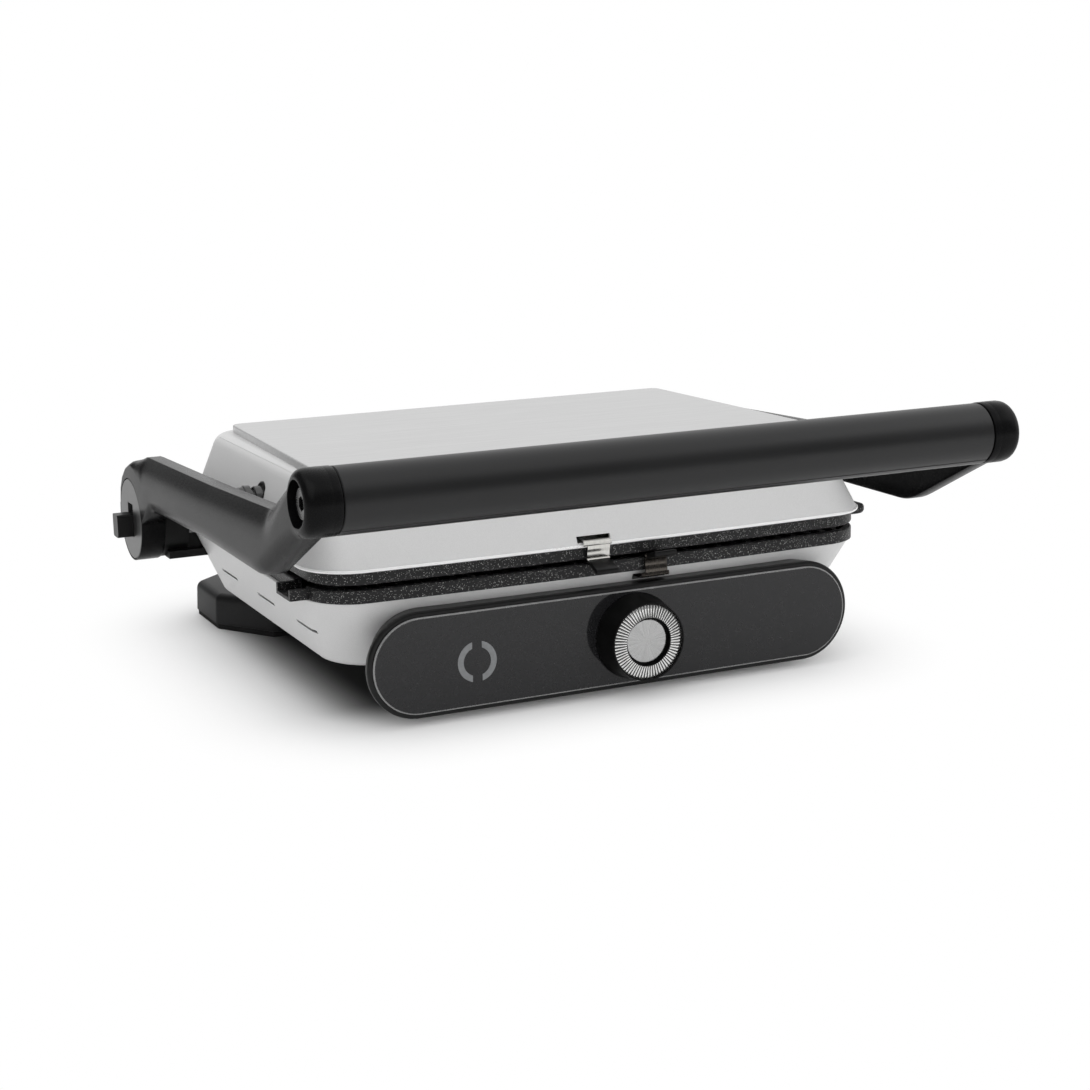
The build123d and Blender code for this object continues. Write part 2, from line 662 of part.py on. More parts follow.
def grill_plate():
    """The lower plate's casting: a ribbed tray with a grease spout at its left front."""
    top = PLATE_SEAT_Z + PLATE_WALL_H
    floor = PLATE_SEAT_Z + PLATE_FLOOR
    body = slab(plate_plan(0), PLATE_SEAT_Z, top)
    body = fillet(body.faces().sort_by(Axis.Z)[-1].edges(), PLATE_ROUND)
    body += slab(plate_plan(PLATE_TRAY_INSET), PLATE_SEAT_Z - PLATE_TRAY_DROP, PLATE_SEAT_Z)
    spout_x = (-PLATE_HALF - SPOUT_REACH, -PLATE_HALF + PLATE_EDGE)
    body += box(spout_x, span(SPOUT_Y, SPOUT_W), (PLATE_SEAT_Z, top - PLATE_ROUND))
    for side in (1, -1):
        lug = box(span(side * LUG_X, LUG_W), (PLATE_REAR - PLATE_EDGE, PLATE_REAR + LUG_REACH),
                  (PLATE_SEAT_Z, PLATE_SEAT_Z + LUG_H))
        body += lug
    body -= slab(plate_plan(PLATE_EDGE), floor, top)
    channel_x = (-PLATE_HALF - SPOUT_REACH, -PLATE_HALF + 2 * PLATE_EDGE)
    body -= box(channel_x, span(SPOUT_Y, SPOUT_W - 2 * SPOUT_WALL), (floor, top))
    inner = slab(plate_plan(PLATE_EDGE + RIB_MARGIN), floor - PLATE_FLOOR / 2, top - RIB_DROP)
    reach = PLATE_HALF - PLATE_EDGE - RIB_MARGIN - RIB_W / 2
    count = int(reach // RIB_PITCH)
    ribs = [box(span(i * RIB_PITCH, RIB_W), (PLATE_FRONT - PLATE_BOW, PLATE_REAR), (floor - PLATE_FLOOR / 2, top))
            for i in range(-count, count + 1)]
    return body + [inner & rib for rib in ribs]


def rear_catches():
    """The two lower sheet catches that hold the plate's rear lugs down on the ledge."""
    catches = []
    back = PLATE_REAR + LUG_REACH + SEAT
    top = PLATE_SEAT_Z + LUG_H + SEAT
    for side in (1, -1):
        x = span(side * LUG_X, CATCH_W)
        upright = box(x, (back, back + CATCH_SHEET), (PLATE_SEAT_Z, top + CATCH_SHEET))
        lip = box(x, (PLATE_REAR + SEAT, back + CATCH_SHEET), (top, top + CATCH_SHEET))
        catches.append(upright + lip)
    return group(catches)


def heating_element():
    """The lower element: a tube that runs to and fro under the plate."""
    points = []
    for run in range(ELEMENT_RUNS):
        y = ELEMENT_FIRST_Y - run * ELEMENT_PITCH
        side = 1 if run % 2 == 0 else -1
        points += [(side * ELEMENT_HALF, y, ELEMENT_Z), (-side * ELEMENT_HALF, y, ELEMENT_Z)]
    path = FilletPolyline(*points, radius=ELEMENT_TURN_R)
    section = Plane(origin=points[0], z_dir=(-1, 0, 0)) * Circle(ELEMENT_R)
    return sweep(section, path=path)


def reflector():
    """The lower reflector: a shallow sheet pan hung under the ledge, below the element."""
    low = PAN_TOP_Z - PAN_DEPTH
    pan = slab(plate_plan(PAN_INSET - PAN_FLANGE), PAN_TOP_Z - PAN_SHEET, PAN_TOP_Z)
    pan += slab(plate_plan(PAN_INSET), low, PAN_TOP_Z)
    return pan - slab(plate_plan(PAN_INSET + PAN_SHEET), low + PAN_SHEET, PAN_TOP_Z)


def thermal_fuse():
    """The thermal fuse in its clip, under the lower reflector."""
    x, y = FUSE_AT
    z = PAN_TOP_Z - PAN_DEPTH - FUSE_R
    fuse = x_cylinder(FUSE_R, span(x, FUSE_LENGTH), y, z - SEAT)
    saddle = box(span(x, FUSE_LENGTH / 2), span(y, 3 * FUSE_R), (z - FUSE_R, PAN_TOP_Z - PAN_DEPTH))
    return fuse + saddle


def terminal_block():
    """The terminal block on the bottom plate, beside the cord gland."""
    x, y = TERMINAL_AT
    width, depth, height = TERMINAL_SIZE
    low = COVER_Z + COVER_THICK
    block = box(span(x, width), span(y, depth), (low, low + height))
    for index in (-1, 0, 1):
        block -= z_cylinder(FUSE_R, x + index * width / 3, y, (low + height / 2, low + height))
    return block


def cord_gland():
    """The gland in the base's rear wall where a cord would leave, on a round rubber collar."""
    share = (PLATE_SEAT_Z - GLAND_Z) / (PLATE_SEAT_Z - BASE_BOTTOM_Z)
    wall = BASE_REAR - BASE_DRAFT_REAR * share
    collar = y_cylinder(GLAND_FLANGE_R, GLAND_X, (wall - SEAT, wall + GLAND_FLANGE_H), GLAND_Z)
    collar -= base_body(0, BASE_BOTTOM_Z, PLATE_SEAT_Z)
    stem = y_cylinder(GLAND_R, GLAND_X, (wall - GLAND_DEPTH, wall + GLAND_FLANGE_H), GLAND_Z)
    gland = collar + stem
    return gland - y_cylinder(GLAND_BORE_R, GLAND_X, (wall - GLAND_DEPTH, wall + GLAND_FLANGE_H), GLAND_Z)


def hinge_bracket():
    """The right hinge bracket: a barrel beside the base and the arm that joins it to the shell."""
    barrel = hinge_cylinder(BARREL_R, (BARREL_INNER_X, HUB_INNER_X - SEAT))
    x = (BASE_HALF - BASE_DRAFT, BARREL_INNER_X + BARREL_R / 2)
    y = (HINGE_Y - BRACKET_FRONT, HINGE_Y + BRACKET_BACK)
    ledge_y = (y[0] - BRACKET_LEDGE_OUT, y[1])
    bracket = barrel + box(x, y, (BRACKET_LOW_Z, BRACKET_TOP_Z))
    bracket += box(x, ledge_y, (BRACKET_LOW_Z, BRACKET_LOW_Z + BRACKET_LEDGE_H))
    bracket -= base_body(0, BASE_BOTTOM_Z, PLATE_SEAT_Z)
    bracket -= hinge_cylinder(AXLE_R + RUNNING, (BARREL_INNER_X, HUB_INNER_X))
    bracket -= bracket_screw_place() * screw_hole()
    return max(bracket.solids(), key=lambda solid: solid.volume)


def hinge_axle():
    """The right hinge axle: a pin through the barrel with its head in the arm's hub."""
    axle = hinge_cylinder(AXLE_R, (BARREL_INNER_X, DISC_SEAT_X))
    return axle + hinge_cylinder(AXLE_HEAD_R, (DISC_SEAT_X, DISC_SEAT_X + AXLE_HEAD_H))


def arm_outline():
    """The arm from the side, as a face of (y, z): hub, bar, elbow and the end at the handle."""
    along = Vector(-math.cos(DOGLEG_SLOPE), math.sin(DOGLEG_SLOPE))
    across = Vector(along.Y, -along.X)
    handle = Vector(HANDLE_Y, HANDLE_Z)
    top_end = handle + across * DOGLEG_HALF
    low_end = handle - across * DOGLEG_HALF
    top_elbow = top_end - along * ((top_end.Y - ARM_TOP_ELBOW_Z) / along.Y)
    low_elbow = low_end - along * ((low_end.Y - ARM_LOW_ELBOW_Z) / along.Y)
    hub_rear = (HINGE_Y + HUB_R - DISC_RIM, HINGE_Z + HUB_R / 4)
    hub_front = (HINGE_Y - HUB_R + DISC_RIM, HINGE_Z)
    points = [ARM_TOP_REAR, ARM_TOP_MID, top_elbow, top_end, low_end, low_elbow, ARM_LOW_MID, ARM_LOW_REAR]
    chain = Polyline(*points, hub_front, (HINGE_Y, HINGE_Z), hub_rear)
    shoulder = ThreePointArc(hub_rear, ARM_SHOULDER, ARM_TOP_REAR)
    face = make_face([*chain.edges(), *shoulder.edges()])
    elbow = face.vertices().sort_by_distance(low_elbow)[0]
    return fillet([elbow], ARM_ELBOW_R)


def arm():
    """The right arm: hub and bar, with its half of the handle's joint at the front end."""
    side = Plane.YZ * (arm_outline() + Pos(HINGE_Y, HINGE_Z) * Circle(HUB_R))
    bar = Pos(ARM_INNER_X, 0, 0) * extrude(side, ARM_THICK)
    bar = fillet(bar.faces().sort_by(Axis.X)[-1].edges(), ARM_EDGE)
    bar -= hinge_cylinder(BARREL_R + SEAT, (ARM_INNER_X, HUB_INNER_X))
    bar -= box((ARM_INNER_X, HUB_INNER_X), (HINGE_Y, -ARM_TOP_REAR[0]), (HINGE_Z - HUB_R, HINGE_Z + BARREL_R))
    end = x_cylinder(HANDLE_R, (HANDLE_SEAM_X + HANDLE_SEAM_GAP, ARM_OUTER_X), HANDLE_Y, HANDLE_Z)
    bar += fillet(end.faces().sort_by(Axis.X)[-1].edges(), CAP_ROUND)
    spigot_r = HANDLE_R - HANDLE_WALL - RUNNING
    bar += x_cylinder(spigot_r, (HANDLE_SEAM_X - SPIGOT_DEPTH, ARM_INNER_X), HANDLE_Y, HANDLE_Z)
    bar -= x_cylinder(RECESS_R, (ARM_OUTER_X - RECESS_DEPTH, ARM_OUTER_X), HANDLE_Y, HANDLE_Z)
    bar -= x_cylinder(TIE_ROD_R + RUNNING, (HANDLE_SEAM_X - SPIGOT_DEPTH, ARM_OUTER_X), HANDLE_Y, HANDLE_Z)
    bar -= hinge_cylinder(DISC_R + DISC_GAP, (DISC_SEAT_X, ARM_OUTER_X))
    bar -= hinge_cylinder(AXLE_R + RUNNING, (HUB_INNER_X, ARM_OUTER_X))
    return bar - x_cylinder(PIVOT_R + RUNNING, (ARM_INNER_X, ARM_INNER_X + PIVOT_DEPTH), PIVOT_Y, PIVOT_Z)


def lever_block(extra, low, high):
    """The release lever's block or its slot, on the left, between two depths."""
    z = (HINGE_Z - LEVER_DROP - LEVER_Z / 2 - extra, HINGE_Z - LEVER_DROP + LEVER_Z / 2 + extra)
    return box((-high, -low), span(HINGE_Y, LEVER_Y + 2 * extra), z)


def hinge_cap(slotted):
    """A disc cap over the hinge; the left one has the release lever's slot."""
    cap = hinge_cylinder(DISC_R, (ARM_OUTER_X - DISC_THICK, ARM_OUTER_X))
    cap = fillet(cap.faces().sort_by(Axis.X)[-1].edges(), DISC_GAP)
    rim = hinge_cylinder(DISC_R, (DISC_SEAT_X, ARM_OUTER_X - DISC_THICK))
    rim -= hinge_cylinder(DISC_R - DISC_RIM, (DISC_SEAT_X, ARM_OUTER_X - DISC_THICK))
    cap += rim
    if not slotted:
        return cap
    slot = lever_block(SEAT, DISC_SEAT_X, ARM_OUTER_X)
    slot += Pos(0, 0, LEVER_TRAVEL) * slot
    return flipped(cap) - slot


def release_lever():
    """The sliding release lever in the left cap, with its foot plate behind the cap."""
    foot_low = ARM_OUTER_X - DISC_THICK - SEAT - LEVER_FLANGE
    block = lever_block(0, foot_low, ARM_OUTER_X + LEVER_REACH)
    block = fillet(block.edges().filter_by(Axis.X), LEVER_ROUND)
    foot = lever_block(LEVER_FLANGE_MARGIN, foot_low, foot_low + LEVER_FLANGE)
    return block + foot


def handle_tube():
    """The handle's tube between the two arm ends."""
    x = (-HANDLE_SEAM_X, HANDLE_SEAM_X)
    tube = x_cylinder(HANDLE_R, x, HANDLE_Y, HANDLE_Z)
    return tube - x_cylinder(HANDLE_R - HANDLE_WALL, x, HANDLE_Y, HANDLE_Z)


def tie_rod_reach():
    """How far the tie rod reaches from the middle, to inside its nuts."""
    return ARM_OUTER_X - RECESS_DEPTH + TIE_NUT_H - TIE_NUT_SOCKET_H


def handle_nuts():
    """The two round tie nuts with a hexagon socket, in the arm ends' recesses."""
    low = ARM_OUTER_X - RECESS_DEPTH
    nut = x_cylinder(TIE_NUT_R, (low, low + TIE_NUT_H), HANDLE_Y, HANDLE_Z)
    socket = extrude(RegularPolygon(TIE_NUT_SOCKET_R, 6), TIE_NUT_SOCKET_H)
    nut -= Pos(low + TIE_NUT_H - TIE_NUT_SOCKET_H, HANDLE_Y, HANDLE_Z) * Rot(0, 90, 0) * socket
    nut -= x_cylinder(TIE_ROD_R + RUNNING, (low, tie_rod_reach()), HANDLE_Y, HANDLE_Z)
    return group([nut, flipped(nut)])


def lid_shell():
    """The lid's sloped shell with its rolled rim, open below the top panel."""
    outer = lid_body(0, LID_SHELL_Z, LID_TOP_Z)
    outer = fillet(outer.faces().sort_by(Axis.Z)[-1].edges(), LID_ROUND)
    rim = slab(lid_plan(LID_SHELL_Z, -LID_RIM_OUT), LID_SEAT_Z, LID_SHELL_Z)
    rim = fillet(rim.faces().sort_by(Axis.Z)[-1].edges() + rim.faces().sort_by(Axis.Z)[0].edges(), LID_RIM_ROUND)
    shell = outer + rim
    shell -= lid_body(LID_WALL, LID_SHELL_Z, LID_TOP_Z - LID_WALL)
    shell -= slab(plate_plan(LEDGE_INSET), LID_SEAT_Z, LID_SHELL_Z + LEDGE_H)
    shell -= slab(top_panel_plan(LID_SHOULDER), LID_TOP_Z - LID_WALL, LID_TOP_Z)
    bush = x_cylinder(PIVOT_R + PIVOT_BUSH_WALL + RUNNING, (PIVOT_BUSH_INNER_X, LID_HALF), PIVOT_Y, PIVOT_Z)
    shell -= bush + flipped(bush)
    low, high = lower_slot_span()
    shell -= clip_slot(UPPER_CLIP_X, 2 * MATING_Z - high, 2 * MATING_Z - low)
    for x, y in lid_screw_places():
        shell -= z_cylinder(SCREW_R + SCREW_GAP, x, y, (LID_TOP_Z - LID_WALL, LID_TOP_Z))
    return shell


def top_panel():
    """The lid's flat top panel: a shallow pressed cover with four screw bosses inside."""
    top = LID_TOP_Z + TOP_PANEL_H
    panel = slab(top_panel_plan(0), LID_TOP_Z, top)
    panel = fillet(panel.faces().sort_by(Axis.Z)[-1].edges(), TOP_PANEL_EDGE)
    panel -= slab(top_panel_plan(TOP_PANEL_SHEET), LID_TOP_Z, top - TOP_PANEL_SHEET)
    for x, y in lid_screw_places():
        panel += z_cylinder(SCREW_HEAD_R, x, y, (LID_TOP_Z, top - TOP_PANEL_SHEET))
        panel -= z_cylinder(SCREW_R + SCREW_GAP, x, y, (LID_TOP_Z, top - TOP_PANEL_SHEET))
    return panel


def lid_pivot():
    """The right lid pivot's bush, through the lid's side wall."""
    bush_r = PIVOT_R + PIVOT_BUSH_WALL
    bush = x_cylinder(bush_r, (PIVOT_BUSH_INNER_X, PIVOT_BUSH_OUTER_X), PIVOT_Y, PIVOT_Z)
    flange_x = (PIVOT_BUSH_INNER_X, PIVOT_BUSH_INNER_X + PIVOT_BUSH_FLANGE)
    bush += x_cylinder(bush_r + PIVOT_BUSH_FLANGE / 2, flange_x, PIVOT_Y, PIVOT_Z)
    return bush - x_cylinder(PIVOT_R + RUNNING, (PIVOT_BUSH_INNER_X, PIVOT_BUSH_OUTER_X), PIVOT_Y, PIVOT_Z)


def pivot_screw():
    """The right shoulder screw that carries the lid in the arm."""
    pin = x_cylinder(PIVOT_R, (PIVOT_BUSH_INNER_X, ARM_INNER_X + PIVOT_DEPTH), PIVOT_Y, PIVOT_Z)
    collar = x_cylinder(PIVOT_COLLAR_R, (PIVOT_BUSH_OUTER_X + MOVING_GAP, ARM_INNER_X), PIVOT_Y, PIVOT_Z)
    return pin + collar


def lower_slot_span():
    """The heights of the lower clip's slot in the base's front wall, with room for its travel."""
    swing = (PLATE_BOW - PLATE_FRONT + CLIP_PIN_Y) * CLIP_TRAVEL
    middle = MATING_Z - CLIP_PIN_OFF
    return (middle - CLIP_SHEET / 2 - swing - MOVING_GAP, middle + CLIP_SHEET / 2 + MOVING_GAP + SEAT)


def clip_path(x, points):
    """A strip of the clip's sheet along (y, height below the mating line) points, at a place in x."""
    path = [(y, MATING_Z - off) for y, off in points]
    line = FilletPolyline(*path, radius=CLIP_SHEET)
    face = Plane.YZ * trace(line, CLIP_SHEET)
    return Pos(x, 0, 0) * extrude(face, CLIP_W / 2, both=True)


def lower_clip():
    """The lower plate clip: strip, thumb tab and pin, with the bracket that holds the pin."""
    plate_front = PLATE_FRONT - PLATE_BOW
    rim_y = LID_FRONT - LID_BOW - LID_RIM_OUT - CLIP_RIM_GAP - CLIP_SHEET / 2
    rim_off = LID_SEAT_Z - MATING_Z
    strip_y = plate_front - CLIP_PLATE_GAP
    points = [(CLIP_PIN_Y - CLIP_PIN_R, CLIP_PIN_OFF), (rim_y + CLIP_SHEET, CLIP_PIN_OFF)]
    points += [(rim_y, CLIP_PIN_OFF - 2 * CLIP_SHEET), (rim_y, rim_off - CLIP_SHEET)]
    points += [(strip_y, rim_off - 4 * CLIP_SHEET), (strip_y, CLIP_LIP_OFF)]
    points += [(plate_front + CLIP_REACH, CLIP_LIP_OFF)]
    strip = clip_path(LOWER_CLIP_X, points)
    x = span(LOWER_CLIP_X, CLIP_W)
    eye = x_cylinder(CLIP_PIN_R + RUNNING + CLIP_SHEET, x, CLIP_PIN_Y, MATING_Z - CLIP_PIN_OFF)
    bore = x_cylinder(CLIP_PIN_R + RUNNING, x, CLIP_PIN_Y, MATING_Z - CLIP_PIN_OFF)
    strip = strip + eye - bore
    slope = Pos(LOWER_CLIP_X, strip_y - CLIP_SHEET / 2, MATING_Z - CLIP_LIP_OFF)
    slope *= Rot(-math.degrees(CLIP_TAB_SLOPE), 0, 0)
    tab = slope * box(span(0, CLIP_TAB_W), (-CLIP_TAB_REACH, 0), (-CLIP_TAB_H, 0))
    tab = fillet(tab.edges().filter_by(Axis.X), CLIP_TAB_H / 4)
    tab -= strip
    return strip, max(tab.solids(), key=lambda solid: solid.volume)


def clip_pin(x):
    """A clip's pin and the sheet bracket that carries it on its wall, in the base's height."""
    z = MATING_Z - CLIP_PIN_OFF
    half = CLIP_W / 2 + CLIP_EAR_GAP
    pin = x_cylinder(CLIP_PIN_R, (x - half - CLIP_EAR, x + half + CLIP_EAR), CLIP_PIN_Y, z)
    ear_r = CLIP_PIN_R + CLIP_SHEET + CLIP_EAR_MARGIN
    ears = []
    for side in (1, -1):
        ear_x = span(x + side * (half + CLIP_EAR / 2), CLIP_EAR)
        ear = box(ear_x, span(CLIP_PIN_Y, 2 * ear_r), (z - ear_r, PAN_TOP_Z))
        ears.append(ear - x_cylinder(CLIP_PIN_R + RUNNING, ear_x, CLIP_PIN_Y, z))
    return pin, group(ears)


def insulation():
    """The insulation pad on the upper reflector."""
    low = 2 * MATING_Z - PAN_TOP_Z + PAN_DEPTH + SEAT
    return slab(plate_plan(PAN_INSET + PAD_MARGIN), low, low + PAD_THICK)


def foot_screws():
    """The four screws that hold the feet under the bottom plate."""
    z = COVER_Z + COVER_THICK
    return group([Pos(x, y, z) * screw() for x, y in foot_screw_places()])


def lid_screws():
    """The four screws that hold the top panel on the lid's shoulder."""
    z = LID_TOP_Z - LID_WALL
    length = LID_WALL + TOP_PANEL_H - TOP_PANEL_SHEET - SEAT
    return group([Pos(x, y, z) * Rot(180, 0, 0) * screw(length) for x, y in lid_screw_places()])


def main():
    """Write every node."""
    os.makedirs("parts", exist_ok=True)
    save("base_shell", base_shell())
    save("base_bottom", base_cover())
    foot, foot_pad = rear_foot()
    save_pair("rear_foot", foot)
    save("rear_foot_pads", group([foot_pad, flipped(foot_pad)]))
    stub, stub_pad = front_foot()
    save_pair("front_foot", stub)
    save("front_foot_pads", group([stub_pad, flipped(stub_pad)]))
    save("foot_screws", foot_screws())
    save("control_housing", control_housing())
    save("control_glass", control_glass())
    save("indicator_ring", ring_arcs(0))
    save("indicator_board", indicator_board())
    thermostat_body, shaft = thermostat()
    save("thermostat_body", thermostat_body)
    save("thermostat_shaft", shaft)
    save("panel_screws", group([place * screw() for place in panel_screw_places()]))
    save("knob_body", knob_body())
    save("knob_ring", knob_ring())
    save("knob_cap", knob_cap())
    plate = grill_plate()
    save("lower_plate", plate)
    save("upper_plate", turned(plate))
    catches = rear_catches()
    save("lower_rear_catches", catches)
    save("upper_rear_catches", turned(catches))
    element = heating_element()
    save("lower_heating_element", element)
    save("upper_heating_element", turned(element))
    pan = reflector()
    save("lower_reflector", pan)
    save("upper_reflector", turned(pan))
    save("insulation_pad", insulation())
    save("thermal_fuse", thermal_fuse())
    save("terminal_block", terminal_block())
    save("cord_gland", cord_gland())
    save_pair("hinge_bracket", hinge_bracket())
    save_pair("hinge_axle", hinge_axle())
    bracket_screw = bracket_screw_place() * screw()
    save("bracket_screws", group([bracket_screw, flipped(bracket_screw)]))
    save_pair("arm", arm())
    save("hinge_cap_right", hinge_cap(False))
    save("hinge_cap_left", hinge_cap(True))
    save("release_lever", release_lever())
    save("handle_tube", handle_tube())
    save("handle_rod", x_cylinder(TIE_ROD_R, (-tie_rod_reach(), tie_rod_reach()), HANDLE_Y, HANDLE_Z))
    save("handle_nuts", handle_nuts())
    save_pair("pivot_screw", pivot_screw())
    save("lid_shell", lid_shell())
    save("lid_top_panel", top_panel())
    save("lid_screws", lid_screws())
    save_pair("lid_pivot", lid_pivot())
    strip, tab = lower_clip()
    to_upper = Pos(UPPER_CLIP_X + LOWER_CLIP_X, 0, 0)
    save("lower_clip", strip)
    save("lower_clip_tab", tab)
    save("upper_clip", to_upper * turned(strip))
    save("upper_clip_tab", to_upper * turned(tab))
    pin, ears = clip_pin(LOWER_CLIP_X)
    save("lower_clip_pin", pin)
    save("lower_clip_bracket", ears)
    save("upper_clip_pin", to_upper * turned(pin))
    save("upper_clip_bracket", to_upper * turned(ears))


main()
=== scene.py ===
"""The looks of a countertop contact grill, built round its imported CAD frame."""

import logging
import math
from abc import ABC, abstractmethod
from dataclasses import dataclass
from enum import Enum
from typing import Any, Iterable, Mapping, Sequence

import bmesh
import bpy
from mathutils import Matrix, Vector


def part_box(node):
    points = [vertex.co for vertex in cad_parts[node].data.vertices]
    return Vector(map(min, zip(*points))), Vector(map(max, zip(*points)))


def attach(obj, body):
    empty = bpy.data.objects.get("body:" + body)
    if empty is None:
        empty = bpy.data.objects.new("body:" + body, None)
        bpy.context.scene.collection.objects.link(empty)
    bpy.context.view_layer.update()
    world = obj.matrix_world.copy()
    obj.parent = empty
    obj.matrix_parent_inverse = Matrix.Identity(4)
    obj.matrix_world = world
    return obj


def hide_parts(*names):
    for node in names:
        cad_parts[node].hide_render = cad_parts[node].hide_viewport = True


Colour = tuple[float, float, float]
Point = tuple[float, float, float]
Flat = tuple[float, float]
Profile = tuple[Flat, ...]
Verts = list[bmesh.types.BMVert]

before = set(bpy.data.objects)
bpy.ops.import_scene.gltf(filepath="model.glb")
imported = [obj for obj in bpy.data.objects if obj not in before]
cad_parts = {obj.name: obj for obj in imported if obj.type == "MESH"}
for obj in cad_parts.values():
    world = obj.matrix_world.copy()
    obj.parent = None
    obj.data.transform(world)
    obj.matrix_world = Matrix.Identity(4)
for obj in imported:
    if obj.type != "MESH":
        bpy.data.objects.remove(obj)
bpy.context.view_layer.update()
LOG = logging.getLogger("contact_grill")
MM = 0.001
WELD = 1e-7
FULL_TURN = 2 * math.pi
MIDDLE_X = 4.35
KNOB_AXIS: Flat = (12.05, 30.0)
KNOB_FLUTES = 68


def grey(level: float) -> Colour:
    """Return a grey of a level."""
    return level, level, level


def shade(colour: Colour, factor: float) -> Colour:
    """Return a colour made lighter or darker by a factor."""
    red, green, blue = (min(1.0, channel * factor) for channel in colour)
    return red, green, blue


class Signal:
    """A shader value that takes part in Python arithmetic."""

    def __init__(self, sheet: "NodeSheet", socket: bpy.types.NodeSocket) -> None:
        """Keep the socket and the sheet that new Math nodes go to."""
        self.sheet = sheet
        self.socket = socket

    def _maths(self, operation: str, *terms: "Signal | float") -> "Signal":
        """Return the result of one Math node on the terms."""
        return self.sheet.signal("ShaderNodeMath", 0, {"operation": operation}, dict(enumerate(terms)))

    def __add__(self, other: "Signal | float") -> "Signal":
        """Return self + other."""
        return self._maths("ADD", self, other)

    def __radd__(self, other: float) -> "Signal":
        """Return other + self."""
        return self._maths("ADD", other, self)

    def __sub__(self, other: "Signal | float") -> "Signal":
        """Return self - other."""
        return self._maths("SUBTRACT", self, other)

    def __rsub__(self, other: float) -> "Signal":
        """Return other - self."""
        return self._maths("SUBTRACT", other, self)

    def __mul__(self, other: "Signal | float") -> "Signal":
        """Return self * other."""
        return self._maths("MULTIPLY", self, other)

    def __rmul__(self, other: float) -> "Signal":
        """Return other * self."""
        return self._maths("MULTIPLY", other, self)

    def __gt__(self, other: "Signal | float") -> "Signal":
        """Return 1 where self is greater than other, else 0."""
        return self._maths("GREATER_THAN", self, other)

    def __lt__(self, other: "Signal | float") -> "Signal":
        """Return 1 where self is less than other, else 0."""
        return self._maths("LESS_THAN", self, other)

    def __neg__(self) -> "Signal":
        """Return -self."""
        return self._maths("SUBTRACT", 0.0, self)

    def __abs__(self) -> "Signal":
        """Return the absolute value of self."""
        return self._maths("ABSOLUTE", self)

    def __pow__(self, power: float) -> "Signal":
        """Return self raised to a power."""
        return self._maths("POWER", self, power)

    def at_least(self, floor: float) -> "Signal":
        """Return the larger of self and a floor."""
        return self._maths("MAXIMUM", self, floor)

    def angle(self, across: "Signal") -> "Signal":
        """Return the angle of a point that lies self up and a distance across."""
        return self._maths("ARCTAN2", self, across)

    def cosine(self) -> "Signal":
        """Return the cosine of self."""
        return self._maths("COSINE", self)

    def sine(self) -> "Signal":
        """Return the sine of self."""
        return self._maths("SINE", self)

    def swing(self, spread: float) -> "Signal":
        """Return a value of 0 to 1 as a swing round 0, with a spread from end to end."""
        return (self - 0.5) * spread

    def band(self, low: float, high: float) -> "Signal":
        """Return a smooth rise from 0 at low to 1 at high."""
        sockets = {"Value": self, "From Min": low, "From Max": high}
        return self.sheet.signal("ShaderNodeMapRange", 0, {"interpolation_type": "SMOOTHSTEP"}, sockets)


